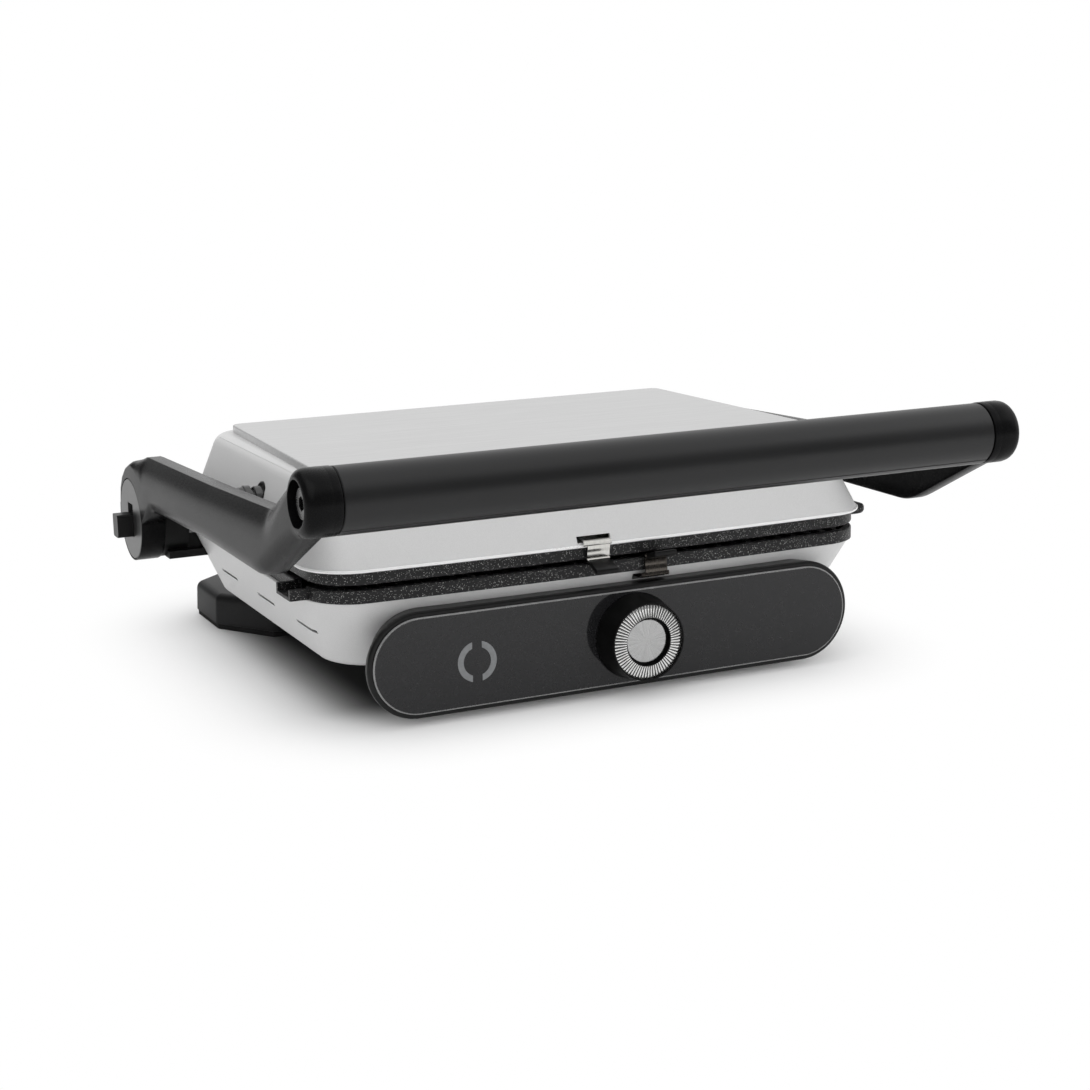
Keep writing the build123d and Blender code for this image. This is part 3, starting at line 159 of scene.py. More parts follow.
class NodeSheet:
    """One material's node tree, which ends in a Principled shader."""

    def __init__(self, name: str) -> None:
        """Make an empty material with its shader and output.

        Args:
            name: The material's name.
        """
        self.material = bpy.data.materials.new(name)
        self.material.use_nodes = True
        self.tree: bpy.types.NodeTree = self.material.node_tree
        self.tree.nodes.clear()
        self.shader = self.add("ShaderNodeBsdfPrincipled")
        self.output = self.add("ShaderNodeOutputMaterial", {}, {"Surface": self.shader.outputs[0]})

    def add(
        self,
        kind: str,
        settings: Mapping[str, Any] | None = None,
        sockets: Mapping[int | str, Any] | None = None,
    ) -> bpy.types.Node:
        """Add one node.

        Args:
            kind: The node's type name.
            settings: Its own settings, set first; "stops" holds a ramp's (place, colour) pairs.
            sockets: A value, Signal or output socket for each input, by name or number.

        Returns:
            The new node.
        """
        node = self.tree.nodes.new(kind)
        for key, value in (settings or {}).items():
            if key == "stops":
                self._set_stops(node, value)
            else:
                setattr(node, key, value)
        for key, value in (sockets or {}).items():
            self.feed(node.inputs[key], value)
        return node

    def _set_stops(self, node: bpy.types.Node, stops: Sequence[tuple[float, Colour]]) -> None:
        """Give a colour ramp its stops.

        Args:
            node: The ramp.
            stops: Each stop's place and colour.
        """
        elements = node.color_ramp.elements
        while len(elements) < len(stops):
            elements.new(0.5)
        for element, (place, colour) in zip(elements, stops):
            element.position = place
            element.color = (*colour, 1.0)

    def feed(self, socket: bpy.types.NodeSocket, value: Any) -> None:
        """Link or set one input socket.

        Args:
            socket: The input.
            value: A Signal or output socket to link, or a value to set.
        """
        if isinstance(value, Signal):
            self.tree.links.new(value.socket, socket)
        elif isinstance(value, bpy.types.NodeSocket):
            self.tree.links.new(value, socket)
        elif socket.type == "RGBA" and len(value) == 3:
            socket.default_value = (*value, 1.0)
        else:
            socket.default_value = value

    def signal(
        self,
        kind: str,
        output: int | str,
        settings: Mapping[str, Any] | None = None,
        sockets: Mapping[int | str, Any] | None = None,
    ) -> Signal:
        """Add one node as add does, and return one of its outputs as a value."""
        return Signal(self, self.add(kind, settings, sockets).outputs[output])

    def surface(self, **inputs: Any) -> None:
        """Feed the shader's inputs, named with _ for each space."""
        for name, value in inputs.items():
            self.feed(self.shader.inputs[name.replace("_", " ")], value)

    def axes(self, coordinate: str = "Object") -> tuple[Signal, Signal, Signal]:
        """Return the three parts of a texture coordinate.

        Args:
            coordinate: The coordinate's name; the object's is in metres.

        Returns:
            Its x, y and z.
        """
        point = self.add("ShaderNodeTexCoord").outputs[coordinate]
        parts = self.add("ShaderNodeSeparateXYZ", {}, {0: point})
        x, y, z = (Signal(self, output) for output in parts.outputs)
        return x, y, z

    def place(self, stretch: Point = (1.0, 1.0, 1.0)) -> bpy.types.NodeSocket:
        """Return the point on the piece in metres, stretched along each axis."""
        point = self.add("ShaderNodeTexCoord").outputs["Object"]
        return self.add("ShaderNodeVectorMath", {"operation": "MULTIPLY"}, {0: point, 1: stretch}).outputs[0]

    def noise(
        self, scale: float, detail: float = 2.0, stretch: Point = (1.0, 1.0, 1.0), at: Any = None
    ) -> Signal:
        """Return cloudy noise round 0.5.

        Args:
            scale: The number of features in a metre.
            detail: The number of finer layers.
            stretch: How much closer the features lie along each axis.
            at: The point to read, where it isn't the point on the piece.

        Returns:
            The noise's value.
        """
        point = self.place(stretch) if at is None else at
        return self.signal("ShaderNodeTexNoise", 0, {}, {"Vector": point, "Scale": scale, "Detail": detail})

    def cells(self, scale: float) -> tuple[Signal, Signal]:
        """Return the distance to the nearest random point, and that point's random value.

        Args:
            scale: The number of random points in a metre.

        Returns:
            The distance and the value.
        """
        node = self.add("ShaderNodeTexVoronoi", {}, {"Vector": self.place(), "Scale": scale})
        pick = self.signal("ShaderNodeSeparateColor", 0, {}, {0: node.outputs["Color"]})
        return Signal(self, node.outputs["Distance"]), pick

    def mix(self, share: "Signal | float", first: Any, second: Any) -> bpy.types.NodeSocket:
        """Return a colour between two colours."""
        return self.add("ShaderNodeMix", {"data_type": "RGBA"}, {0: share, 6: first, 7: second}).outputs[2]

    def tones(self, share: Signal, colour: Colour, low: float, high: float) -> bpy.types.NodeSocket:
        """Return a colour that goes from one shade of itself to another."""
        return self.mix(share, shade(colour, low), shade(colour, high))

    def bump(self, height: Signal, depth_mm: float) -> bpy.types.NodeSocket:
        """Return a normal raised by a height of 0 to 1 times a depth in millimetres."""
        sockets = {"Strength": 1.0, "Distance": depth_mm * MM, "Height": height}
        return self.add("ShaderNodeBump", {}, sockets).outputs[0]


class SkySheet(NodeSheet):
    """The world's node tree."""

    def __init__(self, world: bpy.types.World) -> None:
        """Empty the world's tree.

        Args:
            world: The world that the sheet is for.
        """
        world.use_nodes = True
        self.tree = world.node_tree
        self.tree.nodes.clear()

    def glow(self, strength: "Signal | float") -> None:
        """Light the world white at a strength."""
        white = self.add("ShaderNodeBackground", {}, {"Color": grey(1.0), "Strength": strength})
        self.add("ShaderNodeOutputWorld", {}, {0: white.outputs[0]})


@dataclass(frozen=True)
class Finish(ABC):
    """A surface finish, made into one material the first time that it is used."""

    name: str

    def material(self) -> bpy.types.Material:
        """Return the finish's material, made once.

        Returns:
            The material of the finish's name.
        """
        known = bpy.data.materials.get(self.name)
        if known is not None:
            return known
        sheet = NodeSheet(self.name)
        self.paint(sheet)
        return sheet.material

    @abstractmethod
    def paint(self, sheet: NodeSheet) -> None:
        """Build the finish's nodes on a sheet."""


@dataclass(frozen=True)
class SatinCoat(Finish):
    """A sprayed or baked coat on metal, with fine flakes and a soft orange-peel surface."""

    colour: Colour
    roughness: float
    metallic: float
    flake: float
    peel_mm: float
    gloss: float = 0.5
    flake_scale: float = 5200.0
    cloud_scale: float = 14.0
    peel_scale: float = 900.0

    def paint(self, sheet: NodeSheet) -> None:
        """Build flakes in the colour, clouds in the roughness and orange peel in the normal.

        Args:
            sheet: The material's sheet.
        """
        _, flake = sheet.cells(self.flake_scale)
        cloud = sheet.noise(self.cloud_scale, 3.0)
        speck = sheet.tones(flake, self.colour, 1.0 - self.flake, 1.0 + self.flake)
        sheet.surface(
            Base_Color=sheet.mix(cloud.band(0.3, 0.75) * 0.12, speck, shade(self.colour, 0.86)),
            Roughness=self.roughness + cloud.swing(0.10) + flake.swing(0.06),
            Metallic=self.metallic,
            Specular_IOR_Level=self.gloss,
            Normal=sheet.bump(sheet.noise(self.peel_scale), self.peel_mm),
        )


@dataclass(frozen=True)
class BrushedMetal(Finish):
    """Metal brushed in straight lines along one axis, the one that its noise is stretched least on."""

    colour: Colour
    along: Point
    scale: float
    roughness: float
    depth_mm: float = 0.006
    metallic: float = 1.0
    cloud_scale: float = 7.0

    def paint(self, sheet: NodeSheet) -> None:
        """Build long fine scratches in the colour, roughness and normal.

        Args:
            sheet: The material's sheet.
        """
        fine = sheet.noise(self.scale, 4.0, self.along)
        coarse = sheet.noise(self.scale / 3.0, 2.0, self.along)
        line = fine * 0.7 + coarse * 0.3
        sheet.surface(
            Base_Color=sheet.tones(line.band(0.3, 0.7), self.colour, 0.90, 1.08),
            Roughness=self.roughness + line.swing(0.22) + sheet.noise(self.cloud_scale).swing(0.06),
            Metallic=self.metallic,
            Normal=sheet.bump(line, self.depth_mm),
        )


@dataclass(frozen=True)
class KnobMetal(Finish):
    """A metal whose marks run round or out from the axis of a knob that faces the front."""

    colour: Colour
    centre: Flat

    def spin(self, sheet: NodeSheet) -> Signal:
        """Return the angle round the knob's axis.

        Args:
            sheet: The material's sheet.

        Returns:
            The angle in radians, anticlockwise from the right.
        """
        x, _, z = sheet.axes()
        return (z - self.centre[1] * MM).angle(x - self.centre[0] * MM)


@dataclass(frozen=True)
class RadialMetal(KnobMetal):
    """Metal brushed outwards from the knob's axis."""

    spokes: float = 60.0
    roughness: float = 0.26
    depth_mm: float = 0.02

    def paint(self, sheet: NodeSheet) -> None:
        """Build noise that changes only with the angle round the centre.

        Args:
            sheet: The material's sheet.
        """
        angle = self.spin(sheet)
        rim = sheet.add("ShaderNodeCombineXYZ", {}, {0: angle.cosine(), 1: angle.sine()})
        line = sheet.noise(self.spokes, 4.0, at=rim.outputs[0])
        sheet.surface(
            Base_Color=sheet.tones(line.band(0.3, 0.7), self.colour, 0.72, 1.16),
            Roughness=self.roughness + line.swing(0.25),
            Metallic=1.0,
            Normal=sheet.bump(line, self.depth_mm),
        )


@dataclass(frozen=True)
class FlutedChrome(KnobMetal):
    """Bright metal with painted shade in its radial grooves, turned finely round the knob's axis."""

    flutes: int
    groove_shade_colour: Colour = grey(0.012)
    mark_scale: float = 900.0
    mark_mm: float = 0.004

    def paint(self, sheet: NodeSheet) -> None:
        """Build the grooves' painted shade in colour, with rougher, less metallic grooves and fine turning
        marks.

        Args:
            sheet: The material's sheet.
        """
        wave = (self.spin(sheet) * self.flutes).cosine()
        # Painted shade: the colour goes dark over each groove.
        painted_groove_shade = (-wave).band(-0.05, 0.5)
        turned = sheet.noise(self.mark_scale, 3.0)
        sheet.surface(
            Base_Color=sheet.mix(painted_groove_shade, self.colour, self.groove_shade_colour),
            Roughness=0.24 + painted_groove_shade * 0.3 + turned.swing(0.1),
            Metallic=1.0 - painted_groove_shade * 0.8,
            Normal=sheet.bump(turned, self.mark_mm),
        )


@dataclass(frozen=True)
class MouldedPlastic(Finish):
    """Moulded plastic with a fine spark-eroded grain."""

    colour: Colour
    roughness: float
    grain: float
    grain_mm: float
    gloss: float = 0.5
    cloud_scale: float = 11.0

    def paint(self, sheet: NodeSheet) -> None:
        """Build the grain, with faint handling clouds in colour and roughness.

        Args:
            sheet: The material's sheet.
        """
        pit, tone = sheet.cells(self.grain)
        fine = sheet.noise(self.grain * 2.2)
        cloud = sheet.noise(self.cloud_scale, 3.0)
        base = sheet.tones(tone, self.colour, 0.90, 1.12)
        sheet.surface(
            Base_Color=sheet.mix(cloud.band(0.45, 0.8) * 0.18, base, shade(self.colour, 1.5)),
            Roughness=self.roughness + cloud.swing(0.12) + fine.swing(0.08),
            Specular_IOR_Level=self.gloss,
            Normal=sheet.bump(pit * 0.6 + fine * 0.4, self.grain_mm),
        )


@dataclass(frozen=True)
class BackPrintedGlass(Finish):
    """Clear glass printed black behind: deep, glossy, with the print's faint mottle."""

    colour: Colour = (0.010, 0.010, 0.0108)
    mottle_scale: float = 320.0
    wipe_scale: float = 18.0

    def paint(self, sheet: NodeSheet) -> None:
        """Build the print's mottle, a polished face and faint wiping marks.

        Args:
            sheet: The material's sheet.
        """
        wipe = sheet.noise(self.wipe_scale, 3.0, (1.0, 1.0, 3.0))
        sheet.surface(
            Base_Color=sheet.tones(sheet.noise(self.mottle_scale, 3.0), self.colour, 0.8, 1.4),
            Roughness=0.07 + wipe.band(0.45, 0.85) * 0.06,
            Specular_IOR_Level=0.35,
            Coat_Weight=0.1,
            Coat_Roughness=0.03,
            Normal=sheet.bump(wipe, 0.004),
        )


@dataclass(frozen=True)
class GraniteCoat(Finish):
    """A black non-stick coating with fine pale flecks."""

    colour: Colour = (0.006, 0.006, 0.0065)
    fleck: Colour = (0.34, 0.34, 0.33)
    large_scale: float = 1150.0
    small_scale: float = 1900.0
    ground_scale: float = 700.0

    def paint(self, sheet: NodeSheet) -> None:
        """Build two sizes of fleck over a cast, slightly rough ground.

        Args:
            sheet: The material's sheet.
        """
        near, pick = sheet.cells(self.large_scale)
        near_small, pick_small = sheet.cells(self.small_scale)
        ground = sheet.noise(self.ground_scale, 3.0)
        large = (near < 0.24) * (pick > 0.78)
        small = (near_small < 0.32) * (pick_small > 0.72)
        flecks = large + small * (1.0 - large) * 0.75
        sheet.surface(
            Base_Color=sheet.mix(flecks, sheet.tones(ground, self.colour, 0.6, 1.9), self.fleck),
            Specular_IOR_Level=0.3,
            Roughness=0.44 + ground.swing(0.3) + flecks * 0.12,
            Normal=sheet.bump(ground * 0.7 + flecks * 0.3, 0.035),
        )


@dataclass(frozen=True)
class HeatedTube(Finish):
    """A tubular element's sheath, oxidised brown and blue by use."""

    tempers: tuple[tuple[float, Colour], ...] = (
        (0.3, (0.10, 0.085, 0.07)), (0.5, (0.20, 0.15, 0.10)), (0.7, (0.12, 0.13, 0.18)),
    )

    def paint(self, sheet: NodeSheet) -> None:
        """Build bands of temper colour and a dull oxide.

        Args:
            sheet: The material's sheet.
        """
        cloud = sheet.noise(24.0, 4.0)
        ramp = sheet.add("ShaderNodeValToRGB", {"stops": self.tempers}, {0: cloud})
        sheet.surface(
            Base_Color=ramp.outputs[0],
            Roughness=0.42 + cloud.swing(0.3),
            Metallic=0.8,
            Normal=sheet.bump(sheet.noise(1200.0), 0.02),
        )


@dataclass(frozen=True)
class FibreBlanket(Finish):
    """A needled mineral fibre pad."""

    colour: Colour = (0.80, 0.77, 0.70)

    def paint(self, sheet: NodeSheet) -> None:
        """Build fibres that lie in two directions, matted together.

        Args:
            sheet: The material's sheet.
        """
        across = sheet.noise(420.0, 5.0, (1.0, 3.0, 1.0))
        deep = sheet.noise(500.0, 5.0, (3.0, 1.0, 1.0))
        matt = across * 0.5 + deep * 0.5
        sheet.surface(
            Base_Color=sheet.tones(matt, self.colour, 0.7, 1.1),
            Roughness=0.95,
            Normal=sheet.bump(matt, 0.5),
        )


@dataclass(frozen=True)
class CircuitLaminate(Finish):
    """A green circuit board with paler copper tracks under its lacquer."""

    greens: tuple[Colour, Colour] = ((0.02, 0.13, 0.05), (0.025, 0.16, 0.06))
    track: Colour = (0.10, 0.34, 0.14)

    def paint(self, sheet: NodeSheet) -> None:
        """Build tracks from a brick pattern on the board's face.

        Args:
            sheet: The material's sheet.
        """
        x, _, z = sheet.axes()
        face = sheet.add("ShaderNodeCombineXYZ", {}, {0: x, 1: z})
        brick = sheet.add("ShaderNodeTexBrick", {"offset": 0.3}, {
            "Vector": face.outputs[0], "Scale": 90.0, "Mortar Size": 0.035,
            "Color1": self.greens[0], "Color2": self.greens[1], "Mortar": self.track,
        })
        weave = sheet.noise(1600.0)
        sheet.surface(
            Base_Color=brick.outputs[0],
            Roughness=0.32 + weave * 0.1,
            Coat_Weight=0.4,
            Normal=sheet.bump(weave, 0.01),
        )


@dataclass(frozen=True)
class LightGuide(Finish):
    """The indicator's light guide, unlit: a milky grey with a soft sheen."""

    colour: Colour = (0.16, 0.165, 0.17)

    def paint(self, sheet: NodeSheet) -> None:
        """Build a faint mottle inside the guide.

        Args:
            sheet: The material's sheet.
        """
        mottle = sheet.noise(600.0, 3.0)
        sheet.surface(
            Base_Color=sheet.tones(mottle, self.colour, 0.75, 1.3),
            Roughness=0.3 + mottle * 0.1,
            Coat_Weight=0.3,
            Normal=sheet.bump(mottle, 0.01),
        )


class Coat(Enum):
    """The finishes that the grill's pieces are made in."""

    SILVER = SatinCoat("silver_coat", grey(0.63), roughness=0.45, metallic=0.10, flake=0.05, peel_mm=0.008)
    # The rim bead's coat: the silver coat made far lighter, as a painted highlight.
    RIM_PAINTED_HIGHLIGHT = SatinCoat("rolled_rim_painted_highlight", grey(0.92), roughness=0.30, metallic=0.35, flake=0.03, peel_mm=0.004)
    ARM = SatinCoat(
        "arm_coat", (0.0035, 0.0035, 0.0037),
        roughness=0.27, metallic=0.0, flake=0.16, peel_mm=0.003, gloss=0.08,
    )
    BRACKET = SatinCoat(
        "bracket_coat", grey(0.004), roughness=0.50, metallic=0.0, flake=0.2, peel_mm=0.03, gloss=0.2,
    )
    LID_TOP = BrushedMetal(
        "brushed_lid_top", grey(0.56), (1.0, 45.0, 45.0),
        scale=26.0, roughness=0.40, depth_mm=0.005, metallic=0.55,
    )
    HUB = BrushedMetal("hub_disc_metal", grey(0.17), (40.0, 40.0, 1.0), scale=24.0, roughness=0.40)
    CLIP = BrushedMetal(
        "spring_clip_steel", (0.66, 0.65, 0.62), (60.0, 60.0, 1.0), scale=22.0, roughness=0.22,
    )
    # The clip steel made much darker for the lower clip: painted shade.
    CLIP_PAINTED_SHADE = BrushedMetal(
        "lower_clip_painted_shade_steel", (0.10, 0.09, 0.08), (60.0, 60.0, 1.0), scale=22.0, roughness=0.26,
    )
    STEEL = BrushedMetal("fixing_steel", (0.56, 0.55, 0.53), (50.0, 1.0, 50.0), scale=40.0, roughness=0.26)
    # The fixing steel made much darker for the pivot studs, handle rod and nuts: painted shade.
    STEEL_PAINTED_SHADE = BrushedMetal("fixing_steel_painted_shade", grey(0.10), (50.0, 1.0, 50.0), scale=40.0, roughness=0.26)
    SHEET = BrushedMetal("reflector_sheet", (0.74, 0.74, 0.75), (1.0, 20.0, 20.0), scale=20.0, roughness=0.25)
    HANDLE = MouldedPlastic(
        "handle_plastic", (0.005, 0.005, 0.0054), roughness=0.38, grain=2400.0, grain_mm=0.005, gloss=0.40,
    )
    HOUSING = MouldedPlastic(
        "housing_plastic", grey(0.003), roughness=0.34, grain=1800.0, grain_mm=0.006, gloss=0.3,
    )
    FOOT = MouldedPlastic(
        "foot_moulding", (0.008, 0.008, 0.0085), roughness=0.50, grain=1200.0, grain_mm=0.015, gloss=0.25,
    )
    RUBBER = MouldedPlastic("pad_rubber", grey(0.008), roughness=0.75, grain=900.0, grain_mm=0.04, gloss=0.2)
    KNOB = MouldedPlastic(
        "knob_plastic", grey(0.003), roughness=0.40, grain=2000.0, grain_mm=0.008, gloss=0.15,
    )
    TAB = MouldedPlastic("tab_plastic", grey(0.004), roughness=0.36, grain=1800.0, grain_mm=0.006, gloss=0.2)
    TERMINAL = MouldedPlastic(
        "terminal_moulding", (0.72, 0.70, 0.62), roughness=0.5, grain=1500.0, grain_mm=0.015,
    )
    SWITCH = MouldedPlastic(
        "thermostat_moulding", (0.48, 0.43, 0.34), roughness=0.55, grain=1300.0, grain_mm=0.02,
    )
    KNURL = FlutedChrome("knob_ring_metal", (0.90, 0.90, 0.89), KNOB_AXIS, KNOB_FLUTES)
    FACE = RadialMetal("knob_face_metal", grey(0.50), KNOB_AXIS)
    GLASS = BackPrintedGlass("printed_panel_glass")
    GLASS_EDGE = BackPrintedGlass("glass_edge", grey(0.20))
    GUIDE = LightGuide("indicator_guide")
    PLATE = GraniteCoat("plate_coating")
    ELEMENT = HeatedTube("element_sheath")
    FIBRE = FibreBlanket("insulation_fibre")
    BOARD = CircuitLaminate("board_laminate")

    @property
    def material(self) -> bpy.types.Material:
        """The finish's material."""
        return self.value.material()


def dress(coat: Coat, *nodes: str) -> None:
    """Give CAD nodes a finish through their objects' material slots.

    Args:
        coat: The finish.
        nodes: The nodes' names.
    """
    for node in nodes:
        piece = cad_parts[node]
        if not piece.material_slots:
            piece.data.materials.append(coat.material)
        for slot in piece.material_slots:
            slot.material = coat.material
        LOG.info("dressed %s in %s", node, coat.name)


def circle(count: int, radius: float, centre: Flat = (0.0, 0.0)) -> list[Flat]:
    """Return points of a circle, anticlockwise from the right."""
    angles = [FULL_TURN * index / count for index in range(count)]
    return [(centre[0] + radius * math.cos(angle), centre[1] + radius * math.sin(angle)) for angle in angles]


def rounded(corners: Sequence[Point], step: float, side_share: float = 0.48) -> list[Flat]:
    """Return a closed outline with rounded corners.

    Args:
        corners: Each corner's place and radius.
        step: The length of the pieces that an arc is divided into, of which it has at least three.
        side_share: The most of a side that the arc at either end of it takes up.

    Returns:
        The outline's points, in the order of the corners.
    """
    outline: list[Flat] = []
    for index, (u, v, radius) in enumerate(corners):
        corner = Vector((u, v))
        before = Vector(corners[index - 1][:2]) - corner
        after = Vector(corners[(index + 1) % len(corners)][:2]) - corner
        if not radius:
            outline.append((u, v))
            continue
        half = before.angle(after) / 2
        reach = min(radius / math.tan(half), side_share * before.length, side_share * after.length)
        radius = reach * math.tan(half)
        middle = corner + (before.normalized() + after.normalized()).normalized() * (radius / math.sin(half))
        first = corner + before.normalized() * reach - middle
        last = corner + after.normalized() * reach - middle
        turn = first.angle_signed(last)
        count = max(3, int(abs(turn) * radius / step) + 1)
        for number in range(count + 1):
            spoke = first.copy()
            spoke.rotate(Matrix.Rotation(-turn * number / count, 2))
            outline.append(tuple(middle + spoke))
    return outline


def cushion(wide: float, high: float, radius: float, step: float) -> list[Flat]:
    """Return a rounded rectangle round the origin, from half its width and half its height."""
    places = ((-wide, -high), (wide, -high), (wide, high), (-wide, high))
    return rounded([(*place, radius) for place in places], step)


def inset(outline: Sequence[Flat], depths: float | Sequence[float]) -> list[Flat]:
    """Return a closed outline with its points moved inwards.

    Args:
        outline: The points, in either direction.
        depths: One depth for all, or a depth for each point.

    Returns:
        The moved points.
    """
    if isinstance(depths, float):
        depths = [depths] * len(outline)
    area = sum(a[0] * b[1] - a[1] * b[0] for a, b in zip(outline, [*outline[1:], outline[0]]))
    inward = 1.0 if area > 0 else -1.0
    moved = []
    for index, point in enumerate(outline):
        along = Vector(outline[(index + 1) % len(outline)]) - Vector(outline[index - 1])
        normal = Vector((-along.y, along.x)).normalized() * inward
        moved.append(tuple(Vector(point) + normal * depths[index]))
    return moved


def stadium(half: float, radius: float, depth: float, steps: int = 40) -> list[Flat]:
    """Return a stadium outline round the origin, anticlockwise from its right end's foot.

    Args:
        half: Half its length before the inset.
        radius: Its end's radius before the inset.
        depth: How far the outline is set in.
        steps: The number of pieces in each rounded end.

    Returns:
        The outline's points.
    """
    reach = radius - depth
    outline = []
    for side in (1.0, -1.0):
        for index in range(steps + 1):
            angle = -math.pi / 2 + math.pi * index / steps
            outline.append((side * (half - radius + reach * math.cos(angle)), side * reach * math.sin(angle)))
    return outline


@dataclass
class Piece:
    """A mesh under construction, in millimetres of the part's frame."""

    name: str
    body: str
    coat: Coat
    slot: str

    def __post_init__(self) -> None:
        """Open an empty mesh."""
        self.mesh = bmesh.new()

    def ring(self, points: Iterable[Sequence[float]]) -> Verts:
        """Add vertices at points given in millimetres."""
        return [self.mesh.verts.new(Vector(point) * MM) for point in points]

    def bridge(self, first: Verts, second: Verts) -> None:
        """Join two closed rings with quads.

        Args:
            first: The vertices of one ring.
            second: As many vertices of the next.
        """
        for index, (low, high) in enumerate(zip(first, second)):
            after = (index + 1) % len(first)
            self.mesh.faces.new((low, first[after], second[after], high))

    def skin(self, rings: Iterable[Iterable[Sequence[float]]], capped: bool = False) -> list[Verts]:
        """Join a row of closed rings.

        Args:
            rings: Each ring's points, as many in one as in another.
            capped: Whether the first and last ring are filled.

        Returns:
            The rings' vertices.
        """
        made = [self.ring(points) for points in rings]
        for first, second in zip(made, made[1:]):
            self.bridge(first, second)
        if capped:
            self.mesh.faces.new(made[0])
            self.mesh.faces.new(made[-1])
        return made

    def turned(
        self, axis: int, centre: Flat, rows: Iterable[Flat], count: int, capped: bool = False
    ) -> list[Verts]:
        """Add a turned form.

        Args:
            axis: The axis that it is turned round, 0 for x or 1 for y.
            centre: The axis's place in the other two directions.
            rows: The profile, as places along the axis and radii.
            count: The number of points in each ring.
            capped: Whether the ends are filled.

        Returns:
            The rings' vertices.
        """
        rings = []
        for place, radius in rows:
            rings.append([(u, place, v) if axis else (place, u, v) for u, v in circle(count, radius, centre)])
        return self.skin(rings, capped)

    def ribbon(self, path: Sequence[Flat], thick: float, low: float, high: float) -> None:
        """Add a strip of sheet.

        Args:
            path: Its middle line, as (y, z) points.
            thick: The sheet's thickness.
            low: The strip's left side in x.
            high: Its right side in x.
        """
        walls: list[list[Flat]] = [[], []]
        for index, point in enumerate(path):
            along = Vector(path[min(index + 1, len(path) - 1)]) - Vector(path[max(index - 1, 0)])
            normal = Vector((-along.y, along.x)).normalized() * thick / 2
            for wall, sign in zip(walls, (1.0, -1.0)):
                wall.append(tuple(Vector(point) + normal * sign))
        loop = walls[0] + walls[1][::-1]
        left, right = (self.ring((x, y, z) for y, z in loop) for x in (low, high))
        self.bridge(left, right)
        last = len(loop) - 1
        for end in (left, right):
            for index in range(len(path) - 1):
                self.mesh.faces.new((end[index], end[index + 1], end[last - 1 - index], end[last - index]))

    def pierced(self, outline: Verts, holes: Sequence[Verts]) -> None:
        """Fill a flat outline round its holes.

        Args:
            outline: The outline's vertices.
            holes: Each hole's vertices.
        """
        edges = []
        for loop in (outline, *holes):
            for first, second in zip(loop, loop[1:] + loop[:1]):
                edges.append(self.mesh.edges.get((first, second)) or self.mesh.edges.new((first, second)))
        bmesh.ops.triangle_fill(self.mesh, use_beauty=True, edges=edges)

    def finish(self, smooth_deg: float, replaces: Sequence[str] = ()) -> None:
        """Turn the mesh into a piece that rides on its body.

        Args:
            smooth_deg: Edges sharper than this angle stay sharp.
            replaces: The CAD nodes that the piece stands for.
        """
        bmesh.ops.remove_doubles(self.mesh, verts=self.mesh.verts, dist=WELD)
        bmesh.ops.recalc_face_normals(self.mesh, faces=self.mesh.faces)
        data = bpy.data.meshes.new(self.name)
        self.mesh.to_mesh(data)
        self.mesh.free()
        data.materials.append(self.coat.material)
        data.shade_smooth()
        data.set_sharp_from_angle(angle=math.radians(smooth_deg))
        piece = bpy.data.objects.new(self.name, data)
        bpy.context.scene.collection.objects.link(piece)
        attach(piece, self.body)
        if replaces:
            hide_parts(*replaces)
        LOG.info("built %s on %s, %d faces", self.name, self.body, len(data.polygons))


